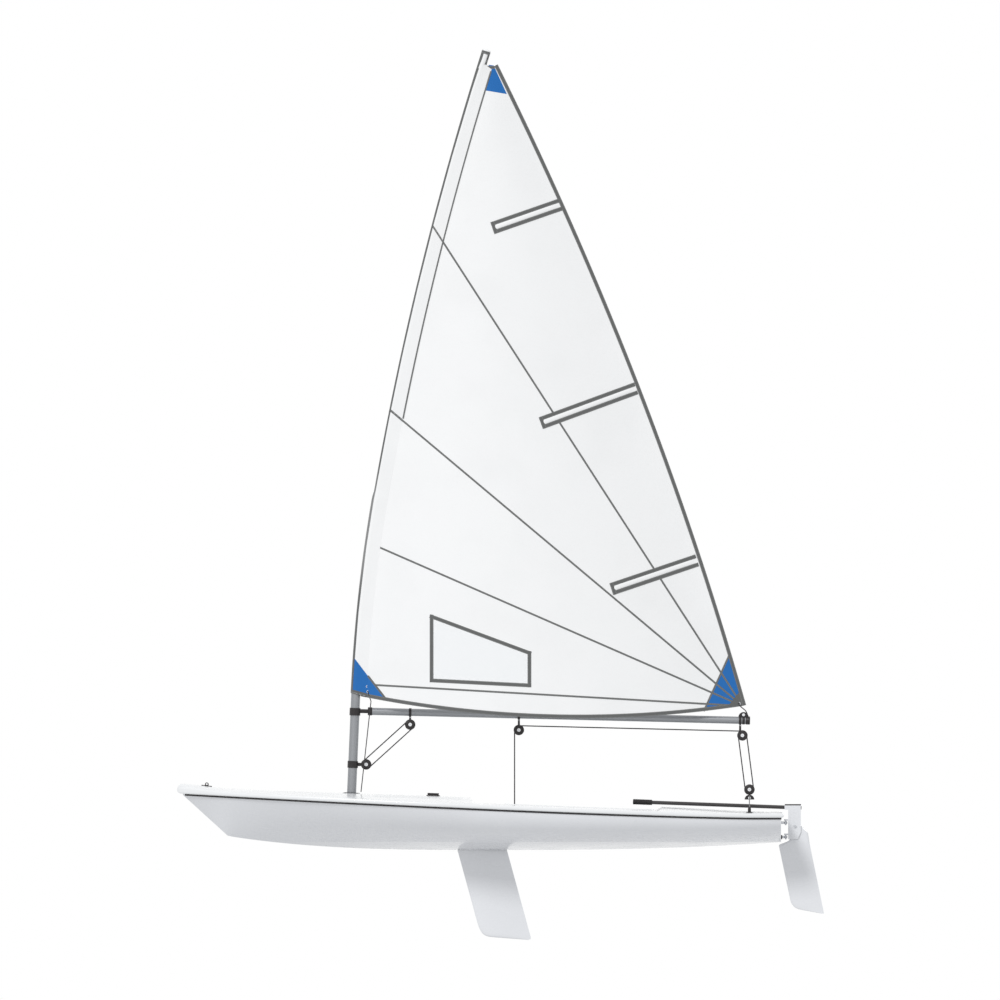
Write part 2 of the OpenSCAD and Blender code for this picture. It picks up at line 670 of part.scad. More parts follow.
module gooseneck() {
    color([0.14, 0.14, 0.15]) difference() {
        union() {
            mast_bar(goose_z - 26, goose_z + 26, mast_r + 6);
            bar([mast_x(goose_z), 0, boom_z(mast_x(goose_z))], boom_at(-cap_t - 2 * seat_gap), 14);
        }
        mast_bar(goose_z - 40, goose_z + 40, mast_r + seat_gap);
    }
}
module boom() {
    color([0.62, 0.63, 0.65]) difference() {
        bar(boom_at(0), boom_at(boom_len), boom_r);
        bar(boom_at(-5), boom_at(boom_len + 5), boom_r - tube_wall);
    }
}
module boom_caps() {
    plug_r = boom_r - tube_wall - seat_gap;
    color([0.14, 0.14, 0.15]) {
        bar(boom_at(-seat_gap - cap_t), boom_at(-seat_gap), boom_r);
        bar(boom_at(-seat_gap - cap_t / 2), boom_at(40), plug_r);
        bar(boom_at(boom_len + seat_gap), boom_at(boom_len + seat_gap + cap_t), boom_r);
        bar(boom_at(boom_len - 40), boom_at(boom_len + seat_gap + cap_t / 2), plug_r);
    }
}
vang_low = [797, 543];
vang_high = [489, 822];
mid_block = [-272, 784];
end_block = [-1837, 746];
module vang_tang() {
    z = vang_low[1];
    color([0.14, 0.14, 0.15]) difference() {
        union() {
            mast_bar(z - 24, z + 24, mast_r + 5);
            translate([vang_low[0] + block_r + seat_gap, -5, z - 12])
                cube([mast_x(z) - vang_low[0] - block_r - seat_gap, 10, 24]);
        }
        mast_bar(z - 40, z + 40, mast_r + seat_gap);
    }
}
module vang_lower_block() {
    color([0.14, 0.14, 0.15]) translate([vang_low[0], 0, vang_low[1]]) rope_block();
}
// A block under the boom with the strap that hangs it from a band round the boom,
// the strap standing ahead of the block's centre by lead
module hung_block(p, lead) {
    top = boom_z(p[0]);
    s = (boom_front[0] - p[0] - lead) / cos(boom_droop);
    translate([p[0], 0, p[1]]) rope_block();
    difference() {
        union() {
            bar(boom_at(s - 9), boom_at(s + 9), boom_r + 3.5);
            translate([p[0] + lead - 8, -5, p[1] + block_r * 0.5]) cube([16, 10, top - p[1] - block_r * 0.5]);
        }
        bar(boom_at(s - 30), boom_at(s + 30), boom_r + seat_gap);
    }
}
module vang_upper_block() { color([0.14, 0.14, 0.15]) hung_block(vang_high, 0); }
module sheet_mid_block() { color([0.14, 0.14, 0.15]) hung_block(mid_block, 0); }
module sheet_end_block() { color([0.14, 0.14, 0.15]) hung_block(end_block, 16); }

eye_ring_r = 17;
outhaul_x = -1845;
module outhaul_eye() {
    x = outhaul_x;
    s = (boom_front[0] - x) / cos(boom_droop);
    color([0.14, 0.14, 0.15]) difference() {
        union() {
            bar(boom_at(s - 7), boom_at(s + 7), boom_r + 3);
            translate([x, 4, boom_z(x) + boom_r + 14]) rotate([90, 0, 0]) cylinder(r = eye_ring_r, h = 8);
        }
        bar(boom_at(s - 30), boom_at(s + 30), boom_r + seat_gap);
        translate([x, 20, boom_z(x) + boom_r + 17]) rotate([90, 0, 0]) cylinder(r = 10, h = 40);
    }
}

// ---- sail nodes ----
module sail() {
    color([0.96, 0.96, 0.96]) difference() {
        sail_cloth();
        window_prism(0);
    }
}
module sail_window() {
    color([0.80, 0.86, 0.90, 0.5]) intersection() {
        sail_cloth();
        window_prism(seat_gap + 0.1);
    }
}
module sail_sleeve() {
    r0 = mast_r + sleeve_gap;
    r1 = top_r + sleeve_gap;
    low_s = (sleeve_low_z - straight_top_z) / cos(mast_rake);
    step_s = 10;                        // the narrowing above the mast joint
    color([0.95, 0.95, 0.95]) {
        arc_tube(straight_top, mast_rake, lower_r, low_s, lower_arc_len - low_s + step_s,
                 r0 + sleeve_t, r0);
        translate(joint_top) rotate([0, -joint_lean, 0])
            translate([0, 0, step_s + seat_gap]) difference() {
                cylinder(r = r0 + sleeve_t, h = sleeve_t);
                translate([0, 0, -1]) cylinder(r = r1 + sleeve_t + seat_gap, h = sleeve_t + 2);
            }
        arc_tube(joint_top, joint_lean, upper_r, step_s, upper_arc_len - step_s + 8, r1 + sleeve_t, r1);
    }
}
module battens() {
    n = 9;
    color([0.75, 0.76, 0.78]) for (b = batten_lines)
        cloth([for (i = [0 : n - 1], w = [-1, 1])
                  let (p = mix(b[0], b[1], i / (n - 1)), x = p[0], z = p[1] - w * batten_w / 2)
                  [x, sail_y(x, z), z]],
              n, 2, batten_t, cloth_t / 2 + batten_t / 2 + batten_gap);
}

hull();
deck();
daggerboard_case();
mast_step();
bow_eye();
deck_cleats();
hiking_strap();
ratchet_block();
traveller_fairleads();
traveller_line();
traveller_block();
gudgeons();
drain_plug();
lower_mast();
upper_mast();
mast_collar();
mast_cap();
gooseneck();
boom();
boom_caps();
vang_tang();
vang_lower_block();
vang_upper_block();
sheet_mid_block();
sheet_end_block();
outhaul_eye();
sail();
sail_sleeve();
sail_window();
battens();
rudder_head();
pintles();
tiller();
tiller_grip();
blade_bolt();
rudder_blade();
daggerboard();
daggerboard_stop();
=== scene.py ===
"""The looks of a single-handed sailing dinghy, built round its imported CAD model.

Lengths in the shape code are millimetres in the part's own frame: +X to the bow, +Y to port,
+Z up, with the waterline at z = 0. They are turned into metres where a mesh is made.
"""
import math

import bmesh
import bpy
from mathutils import Matrix, Vector
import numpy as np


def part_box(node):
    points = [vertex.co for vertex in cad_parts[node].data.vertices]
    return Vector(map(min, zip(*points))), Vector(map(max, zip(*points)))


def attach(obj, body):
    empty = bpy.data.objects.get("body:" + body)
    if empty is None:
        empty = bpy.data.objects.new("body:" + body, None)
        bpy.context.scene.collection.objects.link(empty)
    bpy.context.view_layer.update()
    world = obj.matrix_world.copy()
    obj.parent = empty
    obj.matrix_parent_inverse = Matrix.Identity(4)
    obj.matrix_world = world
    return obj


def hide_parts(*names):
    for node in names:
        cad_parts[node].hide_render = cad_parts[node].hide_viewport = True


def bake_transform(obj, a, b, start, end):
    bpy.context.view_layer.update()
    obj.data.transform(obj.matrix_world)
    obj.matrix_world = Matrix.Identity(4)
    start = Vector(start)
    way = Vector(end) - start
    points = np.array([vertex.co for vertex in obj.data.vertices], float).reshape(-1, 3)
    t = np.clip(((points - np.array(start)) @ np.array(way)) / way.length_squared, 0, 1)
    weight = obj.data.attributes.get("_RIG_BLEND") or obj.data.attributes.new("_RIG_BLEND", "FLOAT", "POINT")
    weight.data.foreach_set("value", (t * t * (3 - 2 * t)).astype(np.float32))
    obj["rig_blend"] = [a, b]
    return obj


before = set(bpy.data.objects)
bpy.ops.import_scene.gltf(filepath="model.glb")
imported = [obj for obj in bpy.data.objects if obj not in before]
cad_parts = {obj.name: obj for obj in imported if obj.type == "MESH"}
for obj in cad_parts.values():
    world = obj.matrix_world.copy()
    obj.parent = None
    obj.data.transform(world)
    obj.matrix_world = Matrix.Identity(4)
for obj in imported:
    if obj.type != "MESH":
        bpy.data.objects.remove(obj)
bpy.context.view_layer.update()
MM = 0.001


# ---------------------------------------------------------------- hull and rig lines
def mix(a, b, t):
    return a + (b - a) * t


def clamp01(t):
    return min(1.0, max(0.0, t))


def ease(t):
    c = clamp01(t)
    return c * c * (3 - 2 * c)


def bezier(p, t):
    s = 1 - t
    return s * s * s * p[0] + 3 * s * s * t * p[1] + 3 * s * t * t * p[2] + t * t * t * p[3]


HULL_LEN, BEAM, LIP_H, LIP_W = 4187, 1370, 30, 25
TRANSOM_X = -2107
STEM_X = TRANSOM_X + HULL_LEN
DECK_NOSE, DECK_TAIL = STEM_X + 41, TRANSOM_X - 21
KNUCKLE_RUN, KNUCKLE_Z, STEM_Z = 316, 42, 330
KNUCKLE_X = STEM_X - KNUCKLE_RUN
KEEL_LOW, KEEL_LOW_X = -56, -200
SHEER_LOW, SHEER_RISE, SHEER_LOW_X, SHEER_RUN = 170, 159, -1900, 3825
BOW_CAMBER, FORE_CAMBER, SIDE_CAMBER, AFT_CAMBER, TAIL_CAMBER = 26, 46, 10, 33, 12
BOW_LIFT, NOSE_ROUND, TAIL_ROUND = 14, 34, 18
STEP_X, STEP_RUN = 70, 35
AFT_STEP_X, AFT_STEP_RUN = -1225, 55
WELL_X0, WELL_X1, WELL_HALF, WELL_CORNER, SOLE_Z = -1205, -185, 265, 60, 62


def plan(t):
    c = clamp01(t)
    if c < 0.6:
        return max(0.0, 1 - (1 - c / 0.6) ** 2) ** 0.75
    return 1 - 0.2 * ((c - 0.6) / 0.4) ** 2


def sheer_z(x):
    return SHEER_LOW + SHEER_RISE * (max(0.0, x - SHEER_LOW_X) / SHEER_RUN) ** 1.33


def keel_z(x):
    if x > KNUCKLE_X:
        return mix(KNUCKLE_Z, STEM_Z, (x - KNUCKLE_X) / KNUCKLE_RUN)
    if x > KEEL_LOW_X:
        return mix(KEEL_LOW, KNUCKLE_Z, ((x - KEEL_LOW_X) / (KNUCKLE_X - KEEL_LOW_X)) ** 3.2)
    return mix(KEEL_LOW, 0, ((KEEL_LOW_X - x) / (KEEL_LOW_X - TRANSOM_X)) ** 2.4)


def hull_half(x):
    return (BEAM / 2 - LIP_W) * plan((STEM_X - x) / HULL_LEN)


def deck_half(x):
    return BEAM / 2 * plan((DECK_NOSE - x) / (DECK_NOSE - DECK_TAIL))


def section_point(x, u):
    b, zk = hull_half(x), keel_z(x)
    d = sheer_z(x) - zk
    aft = ease((STEM_X - x) / (0.6 * HULL_LEN))
    ys = [0, b * mix(0.30, 0.50, aft), b * mix(0.62, 0.97, aft), b]
    zs = [zk, zk + d * mix(0.26, 0.08, aft), zk + d * mix(0.60, 0.26, aft), zk + d]
    return bezier(ys, u), bezier(zs, u)


def camber(x):
    if x >= STEP_X:
        return mix(FORE_CAMBER, BOW_CAMBER, ease((x - STEP_X) / (0.8 * STEM_X - STEP_X)))
    if x > STEP_X - STEP_RUN:
        return mix(SIDE_CAMBER, FORE_CAMBER, ease((x - STEP_X + STEP_RUN) / STEP_RUN))
    if x > AFT_STEP_X:
        return SIDE_CAMBER
    if x > AFT_STEP_X - AFT_STEP_RUN:
        return mix(SIDE_CAMBER, AFT_CAMBER, ease((AFT_STEP_X - x) / AFT_STEP_RUN))
    return mix(AFT_CAMBER, TAIL_CAMBER, ease((AFT_STEP_X - x) / (AFT_STEP_X - TRANSOM_X)))


def rim_z(x):
    return sheer_z(x) + LIP_H + BOW_LIFT * ease((x - 0.85 * STEM_X) / (0.15 * STEM_X))


def deck_z(x, y):
    return rim_z(x) + camber(x) * (1 - (y / deck_half(x)) ** 2)


def end_share(x):
    nose = math.sqrt(max(0.0, 1 - clamp01((x - DECK_NOSE + NOSE_ROUND) / NOSE_ROUND) ** 2))
    tail = math.sqrt(max(0.0, 1 - clamp01((DECK_TAIL + TAIL_ROUND - x) / TAIL_ROUND) ** 2))
    return max(0.12, min(nose, tail))


MAST_RAKE = math.radians(2.4)
MAST_DECK = (899, 340)
STRAIGHT_TOP_Z, SLEEVE_LOW_Z = 1000, 1043
LOWER_ARC, LOWER_BEND = 1410, 7.4
UPPER_ARC, UPPER_BEND = 3228, 7.8
LOWER_R = round(LOWER_ARC / LOWER_BEND * 180 / math.pi)
UPPER_R = round(UPPER_ARC / UPPER_BEND * 180 / math.pi)
MAST_R, TOP_R, BOOM_R, CLOTH = 32, 25.5, 25.5, 0.7


def mast_x(z):
    return MAST_DECK[0] - (z - MAST_DECK[1]) * math.tan(MAST_RAKE)


STRAIGHT_TOP = (mast_x(STRAIGHT_TOP_Z), STRAIGHT_TOP_Z)
JOINT_LEAN = MAST_RAKE + LOWER_ARC / LOWER_R
JOINT_TOP = (STRAIGHT_TOP[0] + LOWER_R * (math.cos(JOINT_LEAN) - math.cos(MAST_RAKE)),
             STRAIGHT_TOP[1] + LOWER_R * (math.sin(JOINT_LEAN) - math.sin(MAST_RAKE)))
TOP_LEAN = JOINT_LEAN + UPPER_ARC / UPPER_R
MAST_TOP = (JOINT_TOP[0] + UPPER_R * (math.cos(TOP_LEAN) - math.cos(JOINT_LEAN)),
            JOINT_TOP[1] + UPPER_R * (math.sin(TOP_LEAN) - math.sin(JOINT_LEAN)))


def arc_x(p, a, r, z):
    s = math.sin(a) + (z - p[1]) / r
    return p[0] + r * (math.sqrt(1 - s * s) - math.cos(a))


def luff_x(z):
    if z < STRAIGHT_TOP_Z:
        return mast_x(z)
    if z < JOINT_TOP[1]:
        return arc_x(STRAIGHT_TOP, MAST_RAKE, LOWER_R, z)
    return arc_x(JOINT_TOP, JOINT_LEAN, UPPER_R, z)


def luff_lean(z):
    if z < STRAIGHT_TOP_Z:
        return MAST_RAKE
    if z < JOINT_TOP[1]:
        return math.asin(math.sin(MAST_RAKE) + (z - STRAIGHT_TOP_Z) / LOWER_R)
    return math.asin(math.sin(JOINT_LEAN) + (z - JOINT_TOP[1]) / UPPER_R)


DROOP = math.radians(1.39)
BOOM_FRONT, BOOM_LEN = (777, 915), 2660


def boom_z(x):
    return BOOM_FRONT[1] + (x - BOOM_FRONT[0]) * math.tan(DROOP)


def boom_at(s):
    return Vector((BOOM_FRONT[0] - s * math.cos(DROOP), 0, BOOM_FRONT[1] - s * math.sin(DROOP)))


CLEW, HEAD, TACK_Z = (-1838, 952), (-101, 5432), 1020
TACK_CORNER = (790, 1030)
ROACH, FOOT_ROUND = 120, 118
SLEEVE_SLACK, SLEEVE_TAIL, SLEEVE_EDGE = 2.1, 75.0, 74


def leech_x(z):
    t = (z - CLEW[1]) / (HEAD[1] - CLEW[1])
    return mix(CLEW[0], HEAD[0], t) - ROACH * 4 * t * (1 - t)


def sleeve_r(z):
    return mix(MAST_R, TOP_R, ease((z - JOINT_TOP[1]) / 60)) + SLEEVE_SLACK


def creases(x, z):
    """Soft creases that fan from the clew and tack, and small scallops along the sleeve."""
    out = 0.0
    for (cx, cz), count, size in ((CLEW, 11, 2.2), (TACK_CORNER, 9, 1.8)):
        r = math.hypot(x - cx, z - cz)
        a = math.atan2(z - cz, x - cx)
        out += size * math.sin(count * a) * math.exp(-r / 560) * ease((r - 260) / 420)
    d = luff_x(z) - x
    out += 1.6 * math.sin(z / 74) * math.exp(-d / 210) * ease((d - 70) / 120)
    return out * ease((x - leech_x(z)) / 90)


def sail_y(x, z):
    f = luff_x(z)
    c = f - leech_x(z)
    s = clamp01((f - x) / c)
    d = mix(0.115, 0.085, clamp01((z - TACK_Z) / (HEAD[1] - TACK_Z)))
    return c * d * 4.9 * s ** 1.06 * (1 - s) ** 1.3 + creases(x, z)


def sail_point(h, s):
    zl, zt = mix(TACK_Z, HEAD[1] + 6, h), mix(CLEW[1], HEAD[1], h)
    xl = luff_x(zl) - sleeve_r(zl) - 1.3
    x = mix(xl, leech_x(zt), s)
    z = mix(zl, zt, s) - FOOT_ROUND * (1 - h) ** 4 * 4 * s * (1 - s)
    return x, z


# ---------------------------------------------------------------- mesh making
class Shape:
    """Gathers grids, rings and fans of points in millimetres into one mesh with a UV map."""

    def __init__(self):
        self.v, self.f, self.uv, self.m = [], [], [], []

    def face(self, ids, uvs=None, m=0):
        self.f.append(ids)
        self.uv.append(uvs or [(0.0, 0.0)] * len(ids))
        self.m.append(m)

    def grid(self, rows, us=None, vs=None, wrap=False, loop=False, m=0):
        base, n, k = len(self.v), len(rows), len(rows[0])
        us = us or [i / max(1, n - 1) for i in range(n)]
        vs = vs or [j / max(1, k - 1) for j in range(k)]
        for row in rows:
            self.v.extend(tuple(p) for p in row)
        for i in range(n if loop else n - 1):
            for j in range(k if wrap else k - 1):
                i2, j2 = (i + 1) % n, (j + 1) % k
                u2 = us[i2] if i2 else us[-1] + us[1] - us[0]
                v2 = vs[j2] if j2 else vs[-1] + vs[1] - vs[0]
                self.face([base + i * k + j, base + i * k + j2, base + i2 * k + j2, base + i2 * k + j],
                          [(us[i], vs[j]), (us[i], v2), (u2, v2), (u2, vs[j])], m)
        return base

    def cap(self, first, count, m=0):
        self.face([first + j for j in range(count)], m=m)

    def loft(self, rows, us=None, vs=None, m=0):
        """A closed solid through rings of points, with flat ends."""
        base, k = self.grid(rows, us, vs, wrap=True, m=m), len(rows[0])
        self.cap(base, k, m)
        self.cap(base + (len(rows) - 1) * k, k, m)

    def bridge(self, a, b, ring):
        """Faces between the points, ring, of two layers that start at a and b."""
        for k, p in enumerate(ring):
            q = ring[(k + 1) % len(ring)]
            self.face([a + p, a + q, b + q, b + p])

    def sheet(self, front, rear):
        """Two grids of one size, joined round their edges."""
        n, k = len(front), len(front[0])
        rim = list(range(k)) + [i * k + k - 1 for i in range(1, n)]
        rim += [(n - 1) * k + j for j in reversed(range(k - 1))]
        rim += [i * k for i in reversed(range(1, n - 1))]
        self.bridge(self.grid(front), self.grid(rear), rim)

    def tube(self, path, radius, sides=16, closed=False, m=0):
        """A round bar that follows path; radius is a number or one number a point."""
        pts = [Vector(p) for p in path]
        n = len(pts)
        radii = radius if hasattr(radius, "__len__") else [radius] * n
        tangents = []
        for i in range(n):
            a = pts[(i - 1) % n] if closed or i else pts[0]
            b = pts[(i + 1) % n] if closed or i < n - 1 else pts[-1]
            tangents.append((b - a).normalized())
        side = Vector((0, 1, 0))
        if abs(tangents[0].dot(side)) > 0.9:
            side = Vector((1, 0, 0))
        rows, us, run = [], [], 0.0
        for i, (p, t) in enumerate(zip(pts, tangents)):
            side = (side - t * side.dot(t)).normalized()
            other = t.cross(side)
            if i:
                run += (p - pts[i - 1]).length
            us.append(run * MM)
            rows.append([p + (side * math.cos(a) + other * math.sin(a)) * radii[i]
                         for a in (2 * math.pi * k / sides for k in range(sides))])
        vs = [k / sides for k in range(sides)]
        if closed:
            self.grid(rows, us, vs, wrap=True, loop=True, m=m)
        else:
            self.loft(rows, us, vs, m)

    def lathe(self, profile, origin, axis, sides=40, ring=False, m=0):
        """Points (along, radius) turned about an axis; ring closes the profile on itself."""
        axis = Vector(axis).normalized()
        side = axis.orthogonal().normalized()
        other = axis.cross(side)
        o = Vector(origin)
        rows = [[o + axis * t + (side * math.cos(a) + other * math.sin(a)) * r
                 for a in (2 * math.pi * k / sides for k in range(sides))] for t, r in profile]
        us, vs = [i * 0.01 for i in range(len(rows))], [k / sides for k in range(sides)]
        if ring:
            self.grid(rows, us, vs, wrap=True, loop=True, m=m)
        else:
            self.loft(rows, us, vs, m)

    def box(self, centre, size, turn=None, m=0):
        c, (a, b, d) = Vector(centre), (s / 2 for s in size)
        turn = turn or Matrix.Identity(3)
        base = len(self.v)
        for sx in (-1, 1):
            for sy in (-1, 1):
                for sz in (-1, 1):
                    self.v.append(tuple(c + turn @ Vector((sx * a, sy * b, sz * d))))
        for q in ((0, 1, 3, 2), (4, 6, 7, 5), (0, 4, 5, 1), (2, 3, 7, 6), (0, 2, 6, 4), (1, 5, 7, 3)):
            self.face([base + i for i in q], m=m)

    def plate(self, pts, y0, y1, m=0):
        """A flat plate in the XZ plane with outline pts, from y0 to y1."""
        base, n = len(self.v), len(pts)
        for y in (y0, y1):
            self.v.extend((x, y, z) for x, z in pts)
        self.face([base + i for i in range(n)], m=m)
        self.face([base + n + i for i in reversed(range(n))], m=m)
        for i in range(n):
            j = (i + 1) % n
            self.face([base + i, base + j, base + n + j, base + n + i], m=m)


def sharpen(mesh, degrees=35):
    mesh.shade_smooth()
    mesh.set_sharp_from_angle(angle=math.radians(degrees))


def build(name, shape, mats, body=None, stands=(), bevel=0.0, degrees=35):
    mesh = bpy.data.meshes.new(name)
    mesh.from_pydata([tuple(c * MM for c in p) for p in shape.v], [], shape.f)
    layer = mesh.uv_layers.new(name="UVMap")
    flat = [c for face in shape.uv for uv in face for c in uv]
    layer.data.foreach_set("uv", flat)
    for m in mats if isinstance(mats, (list, tuple)) else [mats]:
        mesh.materials.append(m)
    mesh.polygons.foreach_set("material_index", shape.m)
    bm = bmesh.new()
    bm.from_mesh(mesh)
    bmesh.ops.recalc_face_normals(bm, faces=bm.faces)
    bm.to_mesh(mesh)
    bm.free()
    sharpen(mesh, degrees)
    o = bpy.data.objects.new(name, mesh)
    bpy.context.scene.collection.objects.link(o)
    if bevel:
        soften(o, bevel)
    return fit(o, body, stands)


def fit(o, body=None, stands=()):
    """Says what a piece rides on and hides the CAD nodes it stands for."""
    if body:
        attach(o, body)
    if stands:
        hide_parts(*stands)
    return o


def soften(o, width, segments=2, degrees=32):
    b = o.modifiers.new("edges", "BEVEL")
    b.width, b.segments, b.limit_method = width * MM, segments, "ANGLE"
    b.angle_limit, b.harden_normals = math.radians(degrees), True
    b.use_clamp_overlap = True


def refine(node, name, mat, body, bevel=1.2):
    """A rounded-edge copy of a CAD fitting, which stands for it."""
    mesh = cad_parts[node].data.copy()
    mesh.name = name
    mesh.materials.clear()
    mesh.materials.append(mat)
    for extra in [a for a in mesh.attributes if a.name == "custom_normal"]:
        mesh.attributes.remove(extra)
    bm = bmesh.new()
    bm.from_mesh(mesh)
    bmesh.ops.remove_doubles(bm, verts=bm.verts, dist=2e-5)
    bmesh.ops.dissolve_limit(bm, angle_limit=math.radians(0.6), verts=bm.verts, edges=bm.edges)
    for f in bm.faces:
        f.material_index = 0
    bm.to_mesh(mesh)
    bm.free()
    sharpen(mesh, 32)
    o = bpy.data.objects.new(name, mesh)
    bpy.context.scene.collection.objects.link(o)
    soften(o, bevel)
    fit(o, body, (node,))


def carve(o, cutters, degrees=35):
    """Takes the cutter objects' volumes out of o."""
    for c in cutters:
        m = o.modifiers.new("cut", "BOOLEAN")
        m.object, m.operation, m.solver = c, "DIFFERENCE", "EXACT"
    bpy.context.view_layer.update()
    done = o.evaluated_get(bpy.context.evaluated_depsgraph_get())
    mesh = bpy.data.meshes.new_from_object(done)
    o.modifiers.clear()
    o.data = mesh
    sharpen(mesh, degrees)


def drop(*objects):
    for o in objects:
        bpy.data.objects.remove(o)


def rounded_outline(x0, x1, half, r, grow=0.0, steps=8):
    """Corners of a rounded rectangle in plan, grown outwards by grow."""
    r2 = max(2.0, r + grow)
    pts = []
    for q in range(4):
        cx = (x1 - r) if q in (0, 3) else (x0 + r)
        cy = (half - r) if q < 2 else (r - half)
        for i in range(steps + 1):
            a = math.radians(90 * q + 90 * i / steps)
            pts.append((cx + r2 * math.cos(a), cy + r2 * math.sin(a)))
    return pts


def prism(name, outline, z0, z1, turn=None):
    """A hidden upright prism used to cut openings."""
    s = Shape()
    turn = turn or Matrix.Identity(3)
    s.loft([[turn @ Vector((x, y, z)) for x, y in outline] for z in (z0, z1)])
    return build(name, s, [])


# ---------------------------------------------------------------- materials
class Look:
    """A Principled material whose colour, roughness and bump vary over the piece."""

    def __init__(self, name, rgb, rough, **extra):
        self.mat = bpy.data.materials.new(name)
        self.mat.use_nodes = True
        self.tree = self.mat.node_tree
        self.shader = self.tree.nodes["Principled BSDF"]
        self.rgb = rgb
        self.shader.inputs["Base Color"].default_value = (*rgb, 1)
        self.shader.inputs["Roughness"].default_value = rough
        for key, value in extra.items():
            self.shader.inputs[key.replace("_", " ")].default_value = value
        self.place = self.new("ShaderNodeTexCoord")
        self.height = None

    def new(self, kind, **props):
        node = self.tree.nodes.new(kind)
        for key, value in props.items():
            setattr(node, key, value)
        return node

    def join(self, a, b):
        self.tree.links.new(a, b)

    def math(self, op, a, b=None, c=None, clamp=False):
        node = self.new("ShaderNodeMath", operation=op, use_clamp=clamp)
        for socket, value in zip(node.inputs, (a, b, c)):
            if value is None:
                continue
            if isinstance(value, (int, float)):
                socket.default_value = value
            else:
                self.join(value, socket)
        return node.outputs[0]

    def fold(self, op, values):
        out = values[0]
        for value in values[1:]:
            out = self.math(op, out, value)
        return out

    def at(self, coords="Object", scale=(1, 1, 1)):
        node = self.new("ShaderNodeMapping")
        self.join(self.place.outputs[coords], node.inputs["Vector"])
        node.inputs["Scale"].default_value = scale
        return node.outputs[0]

    def noise(self, scale, detail=3.0, stretch=(1, 1, 1), coords="Object"):
        node = self.new("ShaderNodeTexNoise")
        self.join(self.at(coords, stretch), node.inputs["Vector"])
        node.inputs["Scale"].default_value = scale
        node.inputs["Detail"].default_value = detail
        return node.outputs["Fac"]

    def span(self, value, lo, hi, out_lo=0.0, out_hi=1.0, smooth=True):
        node = self.new("ShaderNodeMapRange")
        node.interpolation_type = "SMOOTHSTEP" if smooth else "LINEAR"
        self.join(value, node.inputs["Value"])
        for key, v in (("From Min", lo), ("From Max", hi), ("To Min", out_lo), ("To Max", out_hi)):
            node.inputs[key].default_value = v
        return node.outputs["Result"]

    def xyz(self, coords="Object"):
        node = self.new("ShaderNodeSeparateXYZ")
        self.join(self.place.outputs[coords], node.inputs[0])
        return node.outputs

    def shade(self, fac, rgb, base=None):
        """Mixes rgb over what the base colour is so far, by fac."""
        node = self.new("ShaderNodeMix", data_type="RGBA", blend_type="MIX")
        self.join(fac, node.inputs["Factor"])
        socket = self.shader.inputs["Base Color"]
        if socket.is_linked:
            self.join(socket.links[0].from_socket, node.inputs[6])
        else:
            node.inputs[6].default_value = (*(base or self.rgb), 1)
        node.inputs[7].default_value = (*rgb, 1)
        self.join(node.outputs[2], socket)
        return self

    def rough(self, fac, lo, hi):
        self.join(self.span(fac, 0.3, 0.7, lo, hi, smooth=False), self.shader.inputs["Roughness"])
        return self

    def bump(self, height, distance, strength=1.0):
        node = self.new("ShaderNodeBump")
        node.inputs["Strength"].default_value = strength
        node.inputs["Distance"].default_value = distance
        self.join(height, node.inputs["Height"])
        if self.height is not None:
            self.join(self.height, node.inputs["Normal"])
        self.height = node.outputs["Normal"]
        self.join(self.height, self.shader.inputs["Normal"])
        return self


def srgb(r, g, b):
    return tuple(((c / 255 + 0.055) / 1.055) ** 2.4 if c > 10 else c / 255 / 12.92 for c in (r, g, b))


def gelcoat(name, rgb, scuff=0.35):
    k = Look(name, rgb, 0.2, Coat_Weight=0.35, Coat_Roughness=0.08, Specular_IOR_Level=0.45)
    dull = tuple(c * 0.9 for c in rgb)
    k.shade(k.span(k.noise(1.7, 4), 0.35, 0.75, 0, 0.3), dull)
    streaks = k.noise(9, 6, (0.25, 1, 3.0))
    k.shade(k.span(streaks, 0.62, 0.8, 0, scuff * 0.4), tuple(c * 0.86 for c in rgb))
    k.rough(k.noise(14, 5, (0.4, 1, 1)), 0.14, 0.36)
    k.bump(k.noise(420, 2), 0.00012, 0.5)
    k.bump(k.noise(2.2, 1), 0.001, 0.08)
    return k


def inside(k, x0, x1, y_in, y_out, soft=0.006):
    """1 inside a band of the deck, by x and by the distance from the centreline."""
    x, y, _ = k.xyz()
    y = k.math("ABSOLUTE", y)
    parts = [k.span(x, x0 - soft, x0 + soft), k.span(x, x1 - soft, x1 + soft, 1, 0),
             k.span(y, y_out - soft, y_out + soft, 1, 0)]
    if y_in > 0:
        parts.append(k.span(y, y_in - soft, y_in + soft))
    return k.fold("MULTIPLY", parts)


HULL_GREY = srgb(233, 234, 237)
DECK_WHITE = srgb(240, 241, 242)
INK = srgb(35, 31, 32)
TAPE_GREY = srgb(96, 97, 96)
BLUE = srgb(0, 102, 178)
SPAR_GREY = srgb(150, 152, 155)

hull_look = gelcoat("gelcoat_hull", HULL_GREY)
under_water = hull_look.span(hull_look.xyz()[2], -0.012, 0.004, 0.22, 0)
hull_look.shade(under_water, tuple(c * 0.84 for c in HULL_GREY))

